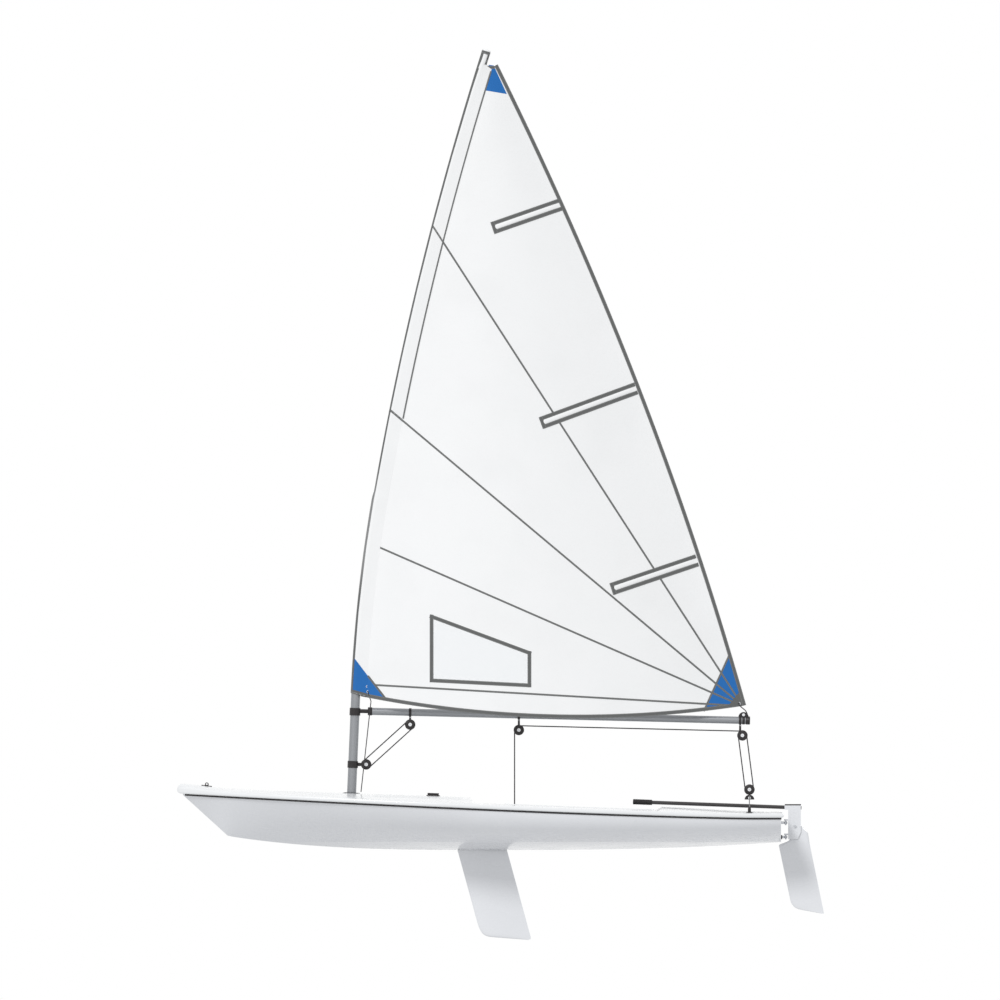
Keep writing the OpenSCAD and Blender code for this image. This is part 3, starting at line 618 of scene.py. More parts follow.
deck_look = gelcoat("gelcoat_deck", DECK_WHITE, scuff=0.15)
TREADS = ((-1.16, -0.04, 0.315, 0.575), (-1.98, -1.33, 0.0, 0.42), (0.13, 0.74, 0.0, 0.43),
          (1.02, 1.42, 0.0, 0.22))
tread = deck_look.fold("MAXIMUM", [inside(deck_look, *zone) for zone in TREADS])
up = deck_look.new("ShaderNodeNewGeometry")
facing = deck_look.new("ShaderNodeSeparateXYZ")
deck_look.join(up.outputs["Normal"], facing.inputs[0])
tread = deck_look.math("MULTIPLY", tread, deck_look.span(facing.outputs[2], 0.75, 0.93))
cells = deck_look.new("ShaderNodeTexVoronoi", feature="F1")
deck_look.join(deck_look.at("Object", (1, 1, 0.2)), cells.inputs["Vector"])
cells.inputs["Scale"].default_value = 210
deck_look.shade(deck_look.math("MULTIPLY", tread, 0.6), srgb(212, 215, 218))
studs = deck_look.math("MULTIPLY", deck_look.span(cells.outputs["Distance"], 0.15, 0.6, 1, 0), tread)
deck_look.bump(studs, 0.0005, 0.7)

foil_look = gelcoat("gelcoat_foil", srgb(232, 233, 236), scuff=0.2)



def moulded(name, rgb, rough, spots=None, gloss=None, grain=None, **extra):
    """Each of spots, gloss and grain starts with its noise's scale, detail and stretch, then its levels."""
    k = Look(name, rgb, rough, **extra)
    if spots:
        k.shade(k.span(k.noise(*spots[:3]), spots[3], spots[4], 0, spots[5]), srgb(*spots[6]))
    if gloss:
        k.rough(k.noise(*gloss[:3]), *gloss[3:])
    k.bump(k.noise(*grain[:3]), *grain[3:])
    return k


def brushed(name, way):
    """Anodised spar metal with its grain along one axis: way(s) is the noise's stretch by s."""
    return moulded(name, SPAR_GREY, 0.4, (5, 5, way(0.12), 0.4, 0.75, 0.4, (132, 134, 138)),
                   (70, 4, way(0.05), 0.3, 0.5), (650, 3, way(0.03), 0.0001, 0.5),
                   Metallic=0.55, Specular_IOR_Level=0.5)


EVEN = (1, 1, 1)
mould = moulded("moulded_grey", srgb(86, 88, 92), 0.5, (60, 4, EVEN, 0.4, 0.7, 0.5, (70, 72, 76)),
                grain=(900, 2, EVEN, 0.0002, 0.4))
steel = moulded("stainless", srgb(196, 198, 202), 0.28, gloss=(90, 5, (0.08, 1, 1), 0.18, 0.42),
                grain=(500, 3, (0.06, 1, 1), 0.0001, 0.5), Metallic=1.0)
black = moulded("black_fitting", INK, 0.42, (130, 5, EVEN, 0.55, 0.75, 0.45, (64, 62, 63)),
                (40, 4, EVEN, 0.34, 0.55), (1100, 2, EVEN, 0.00018, 0.4), Specular_IOR_Level=0.4)
pale = moulded("sheave_white", srgb(236, 237, 238), 0.4, (120, 4, EVEN, 0.5, 0.8, 0.4, (205, 207, 210)),
               grain=(700, 2, EVEN, 0.0001, 0.4))
alloy = brushed("spar_alloy", lambda s: (1, 1, s))
boom_alloy = brushed("boom_alloy", lambda s: (s, 1, 1))
carbon = moulded("tiller_black", INK, 0.3, (55, 5, (0.1, 1, 1), 0.5, 0.8, 0.5, (58, 57, 59)),
                 grain=(600, 2, (0.05, 1, 1), 0.0001, 0.4), Coat_Weight=0.4, Coat_Roughness=0.12)
rubber = moulded("grip_rubber", srgb(30, 28, 29), 0.72, (90, 5, EVEN, 0.5, 0.75, 0.4, (52, 51, 52)),
                 grain=(800, 3, EVEN, 0.0003, 0.5))
# Near-black strake at the hull-deck joint: part strake, part painted shadow line in the shade under the deck's
# rim
rub = moulded("strake_and_painted_shadow", srgb(38, 35, 36), 0.6, (25, 5, (0.3, 1, 1), 0.5, 0.8, 0.4, (66, 64, 66)),
              grain=(500, 3, EVEN, 0.0002, 0.5))
film = moulded("clear_film", srgb(242, 244, 246), 0.08, gloss=(30, 4, EVEN, 0.05, 0.2),
               grain=(9, 3, EVEN, 0.002, 0.25), Alpha=0.42, IOR=1.45, Coat_Weight=0.5)


def woven(name, rgb, thread=0.0008, rough=0.75, sheen=0.25, depth=0.00012, coords="Object"):
    """Cloth with warp and weft showing in bump, and its colour a little uneven."""
    k = Look(name, rgb, rough, Sheen_Weight=sheen, Sheen_Roughness=0.5)
    px, _, pz = k.xyz(coords)
    per = 2 * math.pi / thread
    warp = k.math("SINE", k.math("MULTIPLY", px, per))
    weft = k.math("SINE", k.math("MULTIPLY", pz, per))
    k.bump(k.math("MULTIPLY", warp, weft), depth, 0.35)
    k.shade(k.span(k.noise(2.2, 4), 0.35, 0.75, 0, 0.5), tuple(c * 0.94 for c in rgb))
    k.shade(k.span(k.noise(240, 3), 0.5, 0.75, 0, 0.35), tuple(c * 0.88 for c in rgb))
    return k


def stitched(name, rgb, thread_rgb, rows=(0.74,), pitch=0.009):
    """Tape with rows of stitches along both its edges: u runs along it in metres, v across."""
    k = woven(name, rgb, 0.0009, 0.8, 0.2)
    u, v, _ = k.xyz("UV")
    across = k.math("ABSOLUTE", k.math("SUBTRACT", k.math("MULTIPLY", v, 2.0), 1.0))
    dash = k.span(k.math("FRACT", k.math("DIVIDE", u, pitch)), 0.55, 0.66, 1, 0)
    offsets = [k.math("ABSOLUTE", k.math("SUBTRACT", across, r)) for r in rows]
    marks = k.fold("MAXIMUM", [k.math("MULTIPLY", k.span(near, 0.05, 0.11, 1, 0), dash) for near in offsets])
    k.shade(marks, thread_rgb)
    k.bump(marks, 0.0004, 0.6)
    return k


cloth = woven("sailcloth", srgb(246, 246, 246), 0.0011, 0.62, 0.2)
RIPSTOP = 0.011
cells = [cloth.math("FRACT", cloth.math("DIVIDE", cloth.xyz()[i], RIPSTOP)) for i in (0, 2)]
cloth.bump(cloth.fold("MAXIMUM", [cloth.span(cell, 0.06, 0.1, 1, 0) for cell in cells]), 0.00012, 0.5)
tape = stitched("edge_tape", TAPE_GREY, srgb(150, 150, 150))
seam = stitched("seam_tape", srgb(100, 101, 100), srgb(165, 165, 165), rows=(0.55,))
patch = woven("corner_patch", BLUE, 0.0012, 0.7, 0.2)

rope = Look("rope_black", srgb(34, 32, 33), 0.85, Sheen_Weight=0.3)
u, v, _ = rope.xyz("UV")
turns, round_it = rope.math("DIVIDE", u, 0.016), rope.math("MULTIPLY", v, 2)
left, right = (rope.math("PINGPONG", rope.math("FRACT", rope.math(op, turns, round_it)), 0.5)
               for op in ("ADD", "SUBTRACT"))
plait = rope.math("MULTIPLY", left, right)
rope.shade(rope.span(plait, 0.03, 0.16), srgb(58, 56, 58))
rope.bump(plait, 0.003, 0.7)

web = Look("webbing_black", srgb(33, 32, 34), 0.85, Sheen_Weight=0.35)
u, v, _ = web.xyz("UV")
ribs = web.math("SINE", web.math("MULTIPLY", u, 2 * math.pi / 0.0032))
cross = web.math("SINE", web.math("MULTIPLY", v, 2 * math.pi * 14))
web_weave = web.math("MULTIPLY", ribs, cross)
web.bump(web_weave, 0.0006, 0.8)
web.shade(web.span(web_weave, 0.2, 1.0), srgb(60, 59, 62))

M = {k: v.mat for k, v in dict(
    hull=hull_look, deck=deck_look, foil=foil_look, mould=mould, steel=steel, black=black, pale=pale,
    alloy=alloy, boom=boom_alloy, tiller=carbon, rubber=rubber, cloth=cloth, tape=tape, seam=seam,
    patch=patch, film=film, rope=rope, web=web, rub=rub).items()}


# ---------------------------------------------------------------- hull, deck and cockpit
def stations(x0, x1, n, power=1.0):
    return [mix(x0, x1, (i / n) ** power) for i in range(n + 1)]


hull_xs = stations(STEM_X - 0.6, STEP_X, 46, 1.3) + stations(STEP_X, TRANSOM_X, 52)[1:]
half_n = 22
shell = Shape()
rows = []
for x in hull_xs:
    half = [section_point(x, k / half_n) for k in range(half_n + 1)]
    rows.append([(x, -y, z) for y, z in reversed(half)] + [(x, y, z) for y, z in half[1:]])
shell.loft(rows)
hull_skin = build("hull_skin", shell, M["hull"])

# Openings of hull and deck: board slot, recess round its head, cockpit well and mast step
BOARD_TURN = Matrix.Rotation(math.radians(15.3), 3, "Y")
BOARD_HALF, BOARD_THICK, BOARD_TOP = 167, 25, 232
ABOVE_DECK, STEP_BORE = 460, 42
MAST_AXIS = Vector((-math.sin(MAST_RAKE), 0, math.cos(MAST_RAKE)))
slot_cut = prism("slot_cut", rounded_outline(-BOARD_HALF - 12, BOARD_HALF + 12, 24.5, 23), -300, 420, BOARD_TURN)
recess_cut = prism("recess_cut", rounded_outline(-118, 268, 42, 20), BOARD_TOP, ABOVE_DECK)
mast_cut = Shape()
mast_cut.lathe([(-300, STEP_BORE), (120, STEP_BORE)], (MAST_DECK[0], 0, MAST_DECK[1]), MAST_AXIS)
mast_cut = build("mast_cut", mast_cut, [])
deep_well_cut, well_cut = (
    prism(name, rounded_outline(WELL_X0, WELL_X1, WELL_HALF, WELL_CORNER, grow), low, ABOVE_DECK)
    for name, grow, low in (("well_cut", 8, SOLE_Z - 8), ("deck_well_cut", 3, 60)))
carve(hull_skin, [deep_well_cut, slot_cut, recess_cut, mast_cut])
fit(hull_skin, "hull", ("hull",))


def deck_ring(x):
    b, s, r = deck_half(x), sheer_z(x) + 0.3, rim_z(x)
    e = min(11.0, 0.3 * b)
    mid, k = (s + r) / 2, end_share(x)
    edge = [(b - e + e * math.cos(a), level + e * math.sin(a)) for level, first in ((s + e, -90), (r - e, 0))
            for a in (math.radians(first + 22.5 * i) for i in range(5))]
    top = [(y, deck_z(x, y)) for y in (mix(b - e, e - b, (j + 1) / 41) for j in range(40))]
    loop = edge + top + [(-y, z) for y, z in reversed(edge)]
    return [(x, y, mid + (z - mid) * k) for y, z in loop]


deck_xs = [DECK_NOSE - d for d in (0.4, 1.5, 3.5, 6.5, 10.5, 16, 23, 31, 41)]
for x0, x1, n, power in (
        (STEM_X - 10, STEP_X + 20, 36, 1.2), (STEP_X + 4, STEP_X - STEP_RUN - 4, 14, 1.0),
        (STEP_X - STEP_RUN - 30, AFT_STEP_X + 20, 22, 1.0),
        (AFT_STEP_X + 4, AFT_STEP_X - AFT_STEP_RUN - 4, 14, 1.0),
        (AFT_STEP_X - AFT_STEP_RUN - 30, TRANSOM_X, 16, 1.0)):
    deck_xs += stations(x0, x1, n, power)
deck_xs += [DECK_TAIL + d for d in (14, 10, 6.5, 3.5, 1.5, 0.4)]
top_shell = Shape()
top_shell.loft([deck_ring(x) for x in deck_xs])
deck_skin = build("deck_moulding", top_shell, M["deck"])
carve(deck_skin, [well_cut, slot_cut, recess_cut, mast_cut], 30)
fit(deck_skin, "hull", ("deck",))
drop(slot_cut, recess_cut, deep_well_cut, well_cut, mast_cut)


def well_ring(inward, up, from_deck):
    """The well's outline moved inwards, with points along its straight sides, up above deck or sole."""
    corner = 11
    pts = rounded_outline(WELL_X0, WELL_X1, WELL_HALF, WELL_CORNER, -inward, corner - 1)
    out = []
    for q in range(4):
        arc = pts[q * corner:(q + 1) * corner]
        a, b, n = arc[-1], pts[((q + 1) * corner) % len(pts)], (20, 10)[q % 2]
        out += arc + [(mix(a[0], b[0], k / n), mix(a[1], b[1], k / n)) for k in range(1, n)]
    return [(px, py, deck_z(px, py) + up if from_deck else SOLE_Z + up) for px, py in out]


# The cockpit tub: a rolled lip on the deck, walls with a little draft and a rounded sole
tub = Shape()
layers = []
for lip, wall in ((((-15, 0.4), (-14, 2.4), (-11, 4.2), (-7, 5.0), (-3, 4.4), (0, 2.6), (2, -0.6), (3, -5)),
                   ((4, 120), (6, 60), (7, 34), (9.5, 20), (15, 9), (24, 2.6), (36, 0.3), (52, 0.1))),
                  (((-13, -1.5), (-5, -1.5)), ((-1, 120), (1, 20), (6, -4)))):
    rings = [well_ring(i, up, True) for i, up in lip] + [well_ring(i, up, False) for i, up in wall]
    n_ring = len(rings[0])
    layers.append(tub.grid(rings, wrap=True))
    tub.cap(layers[-1] + (len(rings) - 1) * n_ring, n_ring)
tub.bridge(*layers, range(n_ring))
build("cockpit_tub", tub, M["deck"], "hull")

# The dark strake that covers the joint between hull and deck; its near-black band is also a painted shadow line
# under the deck's rim
strake = Shape()
xs = [x for x in hull_xs if x < STEM_X - 3]
for side in (-1, 1):
    rows = [[(x, side * (hull_half(x) + out), sheer_z(x) - down)
             for out, down in ((-2, 13), (2.2, 12.2), (3.2, 7), (2.2, 1.4), (-2, 0.4))] for x in xs]
    strake.loft(rows, [-(x - STEM_X) * MM for x in xs])
strake.box((TRANSOM_X - 1, 0, sheer_z(TRANSOM_X) - 6.8), (5, 2 * hull_half(TRANSOM_X) + 4, 12))
build("joint_strake_and_painted_shadow", strake, M["rub"], "hull", bevel=0.8)

# ---------------------------------------------------------------- foils
FOIL = [(0.0, 0.0), (0.012, 0.36), (0.05, 0.66), (0.12, 0.88), (0.22, 0.99), (0.34, 1.0), (0.5, 0.9),
        (0.68, 0.66), (0.84, 0.36), (0.96, 0.13), (1.0, 0.06)]


def foil_loft(shape, levels):
    """Sections from nose to tail and back: nose point, tail point, thickness, share of flat plate."""
    rows = []
    for nose, tail, thick, flat in levels:
        nose, tail = Vector(nose), Vector(tail)
        plate = [min(1.0, 3.2 * math.sqrt(c), 3.2 * math.sqrt(1 - c) + 0.3) for c, _ in FOIL]
        half = [mix(t, p, flat) * thick / 2 if c else 0.0 for (c, t), p in zip(FOIL, plate)]
        port, star = ([nose.lerp(tail, c) + Vector((0, side * h, 0)) for (c, _), h in zip(FOIL, half)]
                      for side in (1, -1))
        rows.append(port + list(reversed(star[1:])))
    shape.loft(rows)


def along(curve, w):
    """The u of a polyline of (u, w) points, w falling, at height w."""
    for (u0, w0), (u1, w1) in zip(curve, curve[1:]):
        if w0 >= w >= w1:
            return mix(u0, u1, (w0 - w) / max(1e-9, w0 - w1))
    return curve[-1][0]


# Daggerboard: outlines of (distance fore of its axis, height along it), its head cut level
board_nose = [(BOARD_HALF, 400), (BOARD_HALF, -560), (163, -590), (154, -620), (138, -643), (108, -660),
              (-155, -754)]
board_tail = [(-BOARD_HALF, 400), (-BOARD_HALF, -744), (-157, -754)]
up_axis = BOARD_TURN @ Vector((0, 0, 1))
head = []
for end in (BOARD_HALF, -BOARD_HALF):
    foot = BOARD_TURN @ Vector((end, 0, 0))
    head.append(foot + up_axis * ((BOARD_TOP - foot.z) / up_axis.z))
levels = [(*head, BOARD_THICK, 0.0)]
for w in [110, 0, -100, -200, -300, -400, -480, -540, -575, -600, -620, -635, -648, -658, -670, -685, -700, -715,
          -730, -742, -750]:
    nose, tail = along(board_nose, w), along(board_tail, w)
    thick = BOARD_THICK * min(1.0, 0.35 + 0.65 * ease((w + 758) / 120)) * min(1.0, (nose - tail) / 120)
    levels.append((BOARD_TURN @ Vector((nose, 0, w)), BOARD_TURN @ Vector((tail, 0, w)), thick, 0.0))
foil = Shape()
foil_loft(foil, levels)
build("daggerboard_foil", foil, M["foil"], "daggerboard", ("daggerboard",), degrees=50)

# Rudder blade: outlines of (x, z), a flat plate at its head that turns into a foil below
blade_nose = [(-2204, 148), (-2188, 144), (-2176, 134), (-2169, 122), (-2167, 110), (-2167, 16), (-2160, 8),
              (-2146, 1), (-2126, -6), (-2106, -13), (-2096, -19), (-2091, -26), (-2095, -40), (-2170, -398),
              (-2176, -422), (-2190, -446), (-2208, -461), (-2233, -472), (-2405, -504)]
BLADE_THICK = 19
blade_tail = [(-2206, 148), (-2222, 144), (-2238, 128), (-2296, 63), (-2308, -14), (-2408, -500), (-2408, -504)]
levels = []
for w in [147.6, 146, 142, 136, 128, 118, 100, 80, 63, 48, 32, 16, 11, 6, 1, -4, -9, -14, -19, -25, -32, -41, -60,
          -90, -130, -180, -240, -300, -350, -398, -422, -438, -452, -462, -470, -478, -486, -494, -501]:
    nose, tail = along(blade_nose, w), along(blade_tail, w)
    thick = BLADE_THICK * min(1.0, 0.4 + 0.6 * ease((w + 508) / 90)) * min(1.0, (nose - tail) / 20)
    levels.append(((nose, 0, w), (tail, 0, w), thick, ease((w + 110) / 130)))
rudder = Shape()
foil_loft(rudder, levels)
build("rudder_foil", rudder, M["foil"], "rudder_blade", ("rudder_blade",), degrees=50)


# ---------------------------------------------------------------- spars
def arc_points(p, lean, radius, length, n, start=0.0):
    out = []
    for i in range(n + 1):
        a = lean + mix(start, length, i / n) / radius
        out.append((p[0] + radius * (math.cos(a) - math.cos(lean)), 0,
                    p[1] + radius * (math.sin(a) - math.sin(lean))))
    return out


def straight(a, b, n):
    return [tuple(mix(p, q, i / n) for p, q in zip(a, b)) for i in range(n + 1)]


MAST_FOOT_Z = 62
lower = Shape()
path = straight((mast_x(MAST_FOOT_Z), 0, MAST_FOOT_Z), (STRAIGHT_TOP[0], 0, STRAIGHT_TOP[1]), 8)[:-1]
path += arc_points(STRAIGHT_TOP, MAST_RAKE, LOWER_R, LOWER_ARC, 24)
lower.tube(path, MAST_R, 48)
build("lower_mast_tube", lower, M["alloy"], "rig", ("lower_mast",))
upper = Shape()
upper.tube(arc_points(JOINT_TOP, JOINT_LEAN, UPPER_R, UPPER_ARC, 48, 2), TOP_R, 40)
build("upper_mast_tube", upper, M["alloy"], "rig", ("upper_mast",))
spar = Shape()
spar.tube([boom_at(BOOM_LEN * i / 20) for i in range(21)], BOOM_R, 48)
build("boom_tube", spar, M["boom"], "rig", ("boom",))

ends = Shape()
for at, way in ((boom_at(0), boom_at(-1) - boom_at(0)), (boom_at(BOOM_LEN), boom_at(1) - boom_at(0))):
    prof = [(-22, BOOM_R + 0.2), (-22, BOOM_R + 2.2), (-20, BOOM_R + 3.4), (5, BOOM_R + 3.4), (8, BOOM_R + 0.5),
            (8.6, BOOM_R - 5), (8.6, 0.3)]
    ends.lathe(prof, at, way, 48)
build("boom_end_caps", ends, M["black"], "rig", ("boom_caps",))

# ---------------------------------------------------------------- sail
def sail_layer(point, rows, cols, half):
    """A sheet along the sail's surface: point(h, s) gives x and z, half is half its thickness."""
    flat = [[point(i / (rows - 1), j / (cols - 1)) for j in range(cols)] for i in range(rows)]
    shape = Shape()
    shape.sheet(*([[(x, sail_y(x, z) + lift, z) for x, z in row] for row in flat] for lift in (half, -half)))
    return shape


WINDOW = [(339, 1578), (-346, 1323), (-346, 1096), (339, 1131)]
sail_cloth = build("sail_cloth", sail_layer(sail_point, 170, 78, CLOTH), M["cloth"], degrees=60)
hole = Shape()
hole.plate(WINDOW, -300, 700)
hole = build("window_cut", hole, [])
carve(sail_cloth, [hole], 60)
drop(hole)
fit(sail_cloth, "rig")


def pane_point(t, s):
    """A point of the window's film, which laps 9 mm over its sides and 8 mm over top and foot."""
    (x0, z0), (x1, z1), (x2, z2), (x3, z3) = WINDOW
    top = (mix(x0 + 9, x1 - 9, s), mix(z0, z1, s) + 8)
    low = (mix(x3 + 9, x2 - 9, s), mix(z3, z2, s) - 8)
    return mix(low[0], top[0], t), mix(low[1], top[1], t)


build("sail_window_film", sail_layer(pane_point, 25, 45, 0.25), M["film"], "rig", ("sail_window",),
      degrees=60)


def resample(path, step):
    out = [path[0]]
    for p, q in zip(path, path[1:]):
        n = max(1, round(math.dist(p, q) / step))
        out += [(mix(p[0], q[0], k / n), mix(p[1], q[1], k / n)) for k in range(1, n + 1)]
    return out


def shifted(path, d):
    """The path moved sideways by d in the sail's plane, to the left of its run."""
    out = []
    for i, p in enumerate(path):
        a, b = path[max(0, i - 1)], path[min(len(path) - 1, i + 1)]
        l = math.dist(a, b)
        out.append((p[0] - (b[1] - a[1]) / l * d, p[1] + (b[0] - a[0]) / l * d))
    return out


def band(shape, path, width, low, high, side):
    """A flat tape on one face of the sail: it lies from low to high above the cloth's middle."""
    path = resample(path, 22)
    marks = [-1, -0.5, 0, 0.5, 1]
    tracks = [shifted(path, width / 2 * c) for c in marks]
    rows, us, run = [], [], 0.0
    for i, p in enumerate(path):
        run += math.dist(p, path[i - 1]) if i else 0
        us.append(run * MM)
        ring = []
        for lift, order in ((high, range(5)), (low, reversed(range(5)))):
            for j in order:
                x, z = tracks[j][i]
                drop_edge = 0.25 if lift == high and j in (0, 4) else 0.0
                ring.append((x, sail_y(x, z) + side * (lift - drop_edge), z))
        rows.append(ring)
    shape.loft(rows, us, [0, 0.25, 0.5, 0.75, 1, 1, 0.75, 0.5, 0.25, 0])


def triangle(shape, corners, low, high, side, n=22):
    """A three-cornered patch on one face of the sail."""
    index, pts = {}, []
    for i in range(n + 1):
        for j in range(n + 1 - i):
            k = n - i - j
            index[i, j] = len(pts)
            pts.append(tuple((a * i + b * j + c * k) / n for a, b, c in zip(*corners)))
    base = len(shape.v)
    for lift in (high, low):
        shape.v.extend((x, sail_y(x, z) + side * lift, z) for x, z in pts)
    count = len(pts)
    for i in range(n):
        for j in range(n - i):
            cells = [(index[i, j], index[i + 1, j], index[i, j + 1])]
            if j < n - i - 1:
                cells.append((index[i + 1, j], index[i + 1, j + 1], index[i, j + 1]))
            for t in cells:
                shape.face([base + q for q in t])
                shape.face([base + count + q for q in reversed(t)])
    rim = [index[i, 0] for i in range(n + 1)] + [index[n - j, j] for j in range(1, n + 1)]
    rim += [index[0, j] for j in reversed(range(1, n))]
    shape.bridge(base, base + count, rim)


leech = [sail_point(i / 90, 1) for i in range(91)]
foot_edge = [sail_point(0, i / 60) for i in range(61)]
LUFF_SEAM, EDGE_TAPE, SEAM_TAPE = 78, 26, 13


def seam_to_luff(end):
    """A straight seam from the clew towards a point on the luff, as far as the sleeve."""
    a, b = Vector(CLEW), Vector(end)
    t = 1.0
    while a.lerp(b, t).x > luff_x(a.lerp(b, t).y) - SLEEVE_EDGE:
        t -= 0.0005
    return [CLEW, tuple(a.lerp(b, t))]


LUFF_ENDS = [(322, 4298), (630, 3024)]
seams = [seam_to_luff(e) for e in LUFF_ENDS] + [[CLEW, (700, 2061)], [CLEW, (752, 1100)]]
luff_seam = [(luff_x(z) - LUFF_SEAM, z) for z in (mix(2964, HEAD[1] - 37, i / 80) for i in range(81))]
BATTENS = [((-574, 4466), (-91, 4298)), ((-1099, 3178), (-430, 2933)), ((-1526, 1974), (-924, 1771))]
PATCHES = [[(-96, 5436), (-20, 5264), (-188, 5236)], [(-96, 5436), (-62, 5440), (-20, 5264)],
           [(-1748, 1309), (-1568, 917), CLEW]]
TACK = [(896, 1309), (896, 1043), (651, 987)]

edge_tapes, seam_tapes, patches = Shape(), Shape(), Shape()
for side in (1, -1):
    band(edge_tapes, shifted(leech, EDGE_TAPE / 2), EDGE_TAPE, 0.5, 2.6, side)
    band(edge_tapes, shifted(foot_edge, -EDGE_TAPE / 2), EDGE_TAPE, 0.5, 2.6, side)
    band(edge_tapes, [(HEAD[0] - 2, HEAD[1] - 10), (luff_x(HEAD[1] - 8) - 40, HEAD[1] - 8)], 20, 0.5, 2.7, side)
    loop = WINDOW + [WINDOW[0]]
    for p, q in zip(loop, loop[1:]):
        d = Vector((q[0] - p[0], q[1] - p[1])).normalized() * EDGE_TAPE / 2
        band(edge_tapes, [(p[0] - d.x, p[1] - d.y), (q[0] + d.x, q[1] + d.y)], EDGE_TAPE, 0.3, 1.7, side)
    for clew, end in seams:
        band(seam_tapes, [tuple(Vector(clew).lerp(Vector(end), 0.012)), tuple(end)], SEAM_TAPE, 0.5, 1.9, side)
    band(seam_tapes, luff_seam, SEAM_TAPE - 1, 0.5, 3.2, side)
    band(seam_tapes, [(-1745, 1309), (-1566, 915)], SEAM_TAPE, 0.5, 2.3, side)
    for corners in PATCHES:
        triangle(patches, corners, 0.5, 1.4, side, 40)
    triangle(edge_tapes, [(CLEW[0] + 24, CLEW[1] + 96), (CLEW[0] + 100, CLEW[1] + 2), CLEW], 0.5, 2.9, side, 12)
build("sail_edge_tape", edge_tapes, M["tape"], "rig", degrees=60)
build("sail_seam_tape", seam_tapes, M["seam"], "rig", degrees=60)
build("sail_corner_patches", patches, M["patch"], "rig", degrees=60)

# Batten pockets: a padded run of cloth on the port face, edged with tape on both
pockets, pocket_tape = Shape(), Shape()
POCKET_HALF, POCKET_TAPE = 18, 27
for (lx, lz), (fx, fz) in BATTENS:
    a, b = Vector((lx, lz)), Vector((fx, fz))
    d = (b - a).normalized()
    up = Vector((-d.y, d.x))
    inner = a + d * 24
    n = max(8, round((b - inner).length / 14))
    marks = [-1, -0.8, -0.5, -0.2, 0.2, 0.5, 0.8, 1]
    rows, us = [], []
    for i in range(n + 1):
        p = inner.lerp(b, i / n)
        swell = 5.6 * ease(i / 3) * ease((n - i) / 3)
        across = [(p + up * c * POCKET_HALF, 0.9 + swell * (1 - abs(c) ** 3)) for c in marks]
        across += [(q, 0.3) for q, _ in reversed(across)]
        rows.append([(q.x, sail_y(q.x, q.y) + lift, q.y) for q, lift in across])
        us.append((p - inner).length * MM)
    pockets.loft(rows, us)
    end_mid, reach = b - d * 9, up * (30 + POCKET_TAPE / 2)
    for side, side_top, end_top in ((1, 2.9, 3.1), (-1, 1.6, 1.7)):
        for c in (-1, 1):
            path = [tuple(a + up * c * 30 + d * 6), tuple(b + up * c * 30)]
            band(pocket_tape, path, POCKET_TAPE, 0.5, side_top, side)
        band(pocket_tape, [tuple(end_mid - reach), tuple(end_mid + reach)], POCKET_TAPE, 0.5, end_top, side)
build("batten_pockets", pockets, M["cloth"], "rig", ("battens",), degrees=60)
build("batten_pocket_tape", pocket_tape, M["tape"], "rig", degrees=60)


# ---------------------------------------------------------------- sleeve round the mast
HEAD_RUN, FOOT_SLOPE = 16, 0.2286


def sleeve_ring(z, grow=0.0, shrink=1.0):
    """A slice across the mast: round its fore side, then flat to where the two layers meet.

    At the sail's head the flat part closes up round the mast, and at its lower edge the slice slopes.
    """
    lean, cx = luff_lean(z), luff_x(z)
    back = Vector((-math.cos(lean), 0, -math.sin(lean)))
    origin = Vector((cx, 0, z))
    r = sleeve_r(z) + 0.4 + grow
    tail = min(SLEEVE_TAIL, 0.82 * (cx - leech_x(z)))
    tail = mix(tail, r + 1.5, ease((z - HEAD[1] - 4) / HEAD_RUN))
    tip = origin + back * tail
    meet = sail_y(tip.x, tip.z) if z < HEAD[1] + 20 else 0.0
    meet *= 1 - ease((z - HEAD[1] + 2) / HEAD_RUN)
    spread = math.acos(min(0.985, r / math.hypot(tail, meet)))
    first_angle, sweep = math.atan2(meet, tail) + spread, 2 * math.pi - 2 * spread
    pts = [(r * math.cos(a), r * math.sin(a)) for a in (first_angle + sweep * i / 34 for i in range(35))]
    low, high = ((tail, meet + side * (1.9 + grow)) for side in (-1, 1))
    pts += straight(pts[-1], low, 6)[1:] + [(tail + 1.5, meet)] + straight(pts[0], high, 6)[:0:-1]
    slope = FOOT_SLOPE * (1 - ease((z - SLEEVE_LOW_Z) / 200))
    ring = []
    for p, q in pts:
        at = origin + back * (p * shrink) + Vector((0, q * shrink, 0))
        ring.append(at + Vector((0, 0, slope * (at.x - cx - r))))
    return ring


def levels_to(low, high, n):
    return [mix(low, high, i / n) for i in range(n + 1)]


sleeve = Shape()
zs = levels_to(SLEEVE_LOW_Z, HEAD[1] - 7, 150) + [HEAD[1] + d for d in (0, 5, 9, 13, 17, 21, 28)]
zs += levels_to(HEAD[1] + 38, MAST_TOP[1] + 2, 5)
rows = [sleeve_ring(z) for z in zs]
n_sec = len(rows[0])
spar_dir = Vector((-math.sin(TOP_LEAN), 0, math.cos(TOP_LEAN)))
for up, shrink in ((6, 0.985), (9.5, 0.9), (11, 0.6), (11.5, 0.2)):
    ring = sleeve_ring(MAST_TOP[1] + 2, 0.0, shrink)
    rows.append([p + spar_dir * up for p in ring])
us = [r[0].z * MM for r in rows]
outer = sleeve.grid(rows, us, wrap=True)
sleeve.cap(outer + (len(rows) - 1) * n_sec, n_sec)
inner = sleeve.grid([sleeve_ring(z, -0.9) for z in zs], wrap=True)
sleeve.cap(inner + (len(zs) - 1) * n_sec, n_sec)
sleeve.bridge(outer, inner, range(n_sec))
build("mast_sleeve", sleeve, M["cloth"], "rig", ("sail_sleeve",), degrees=50)


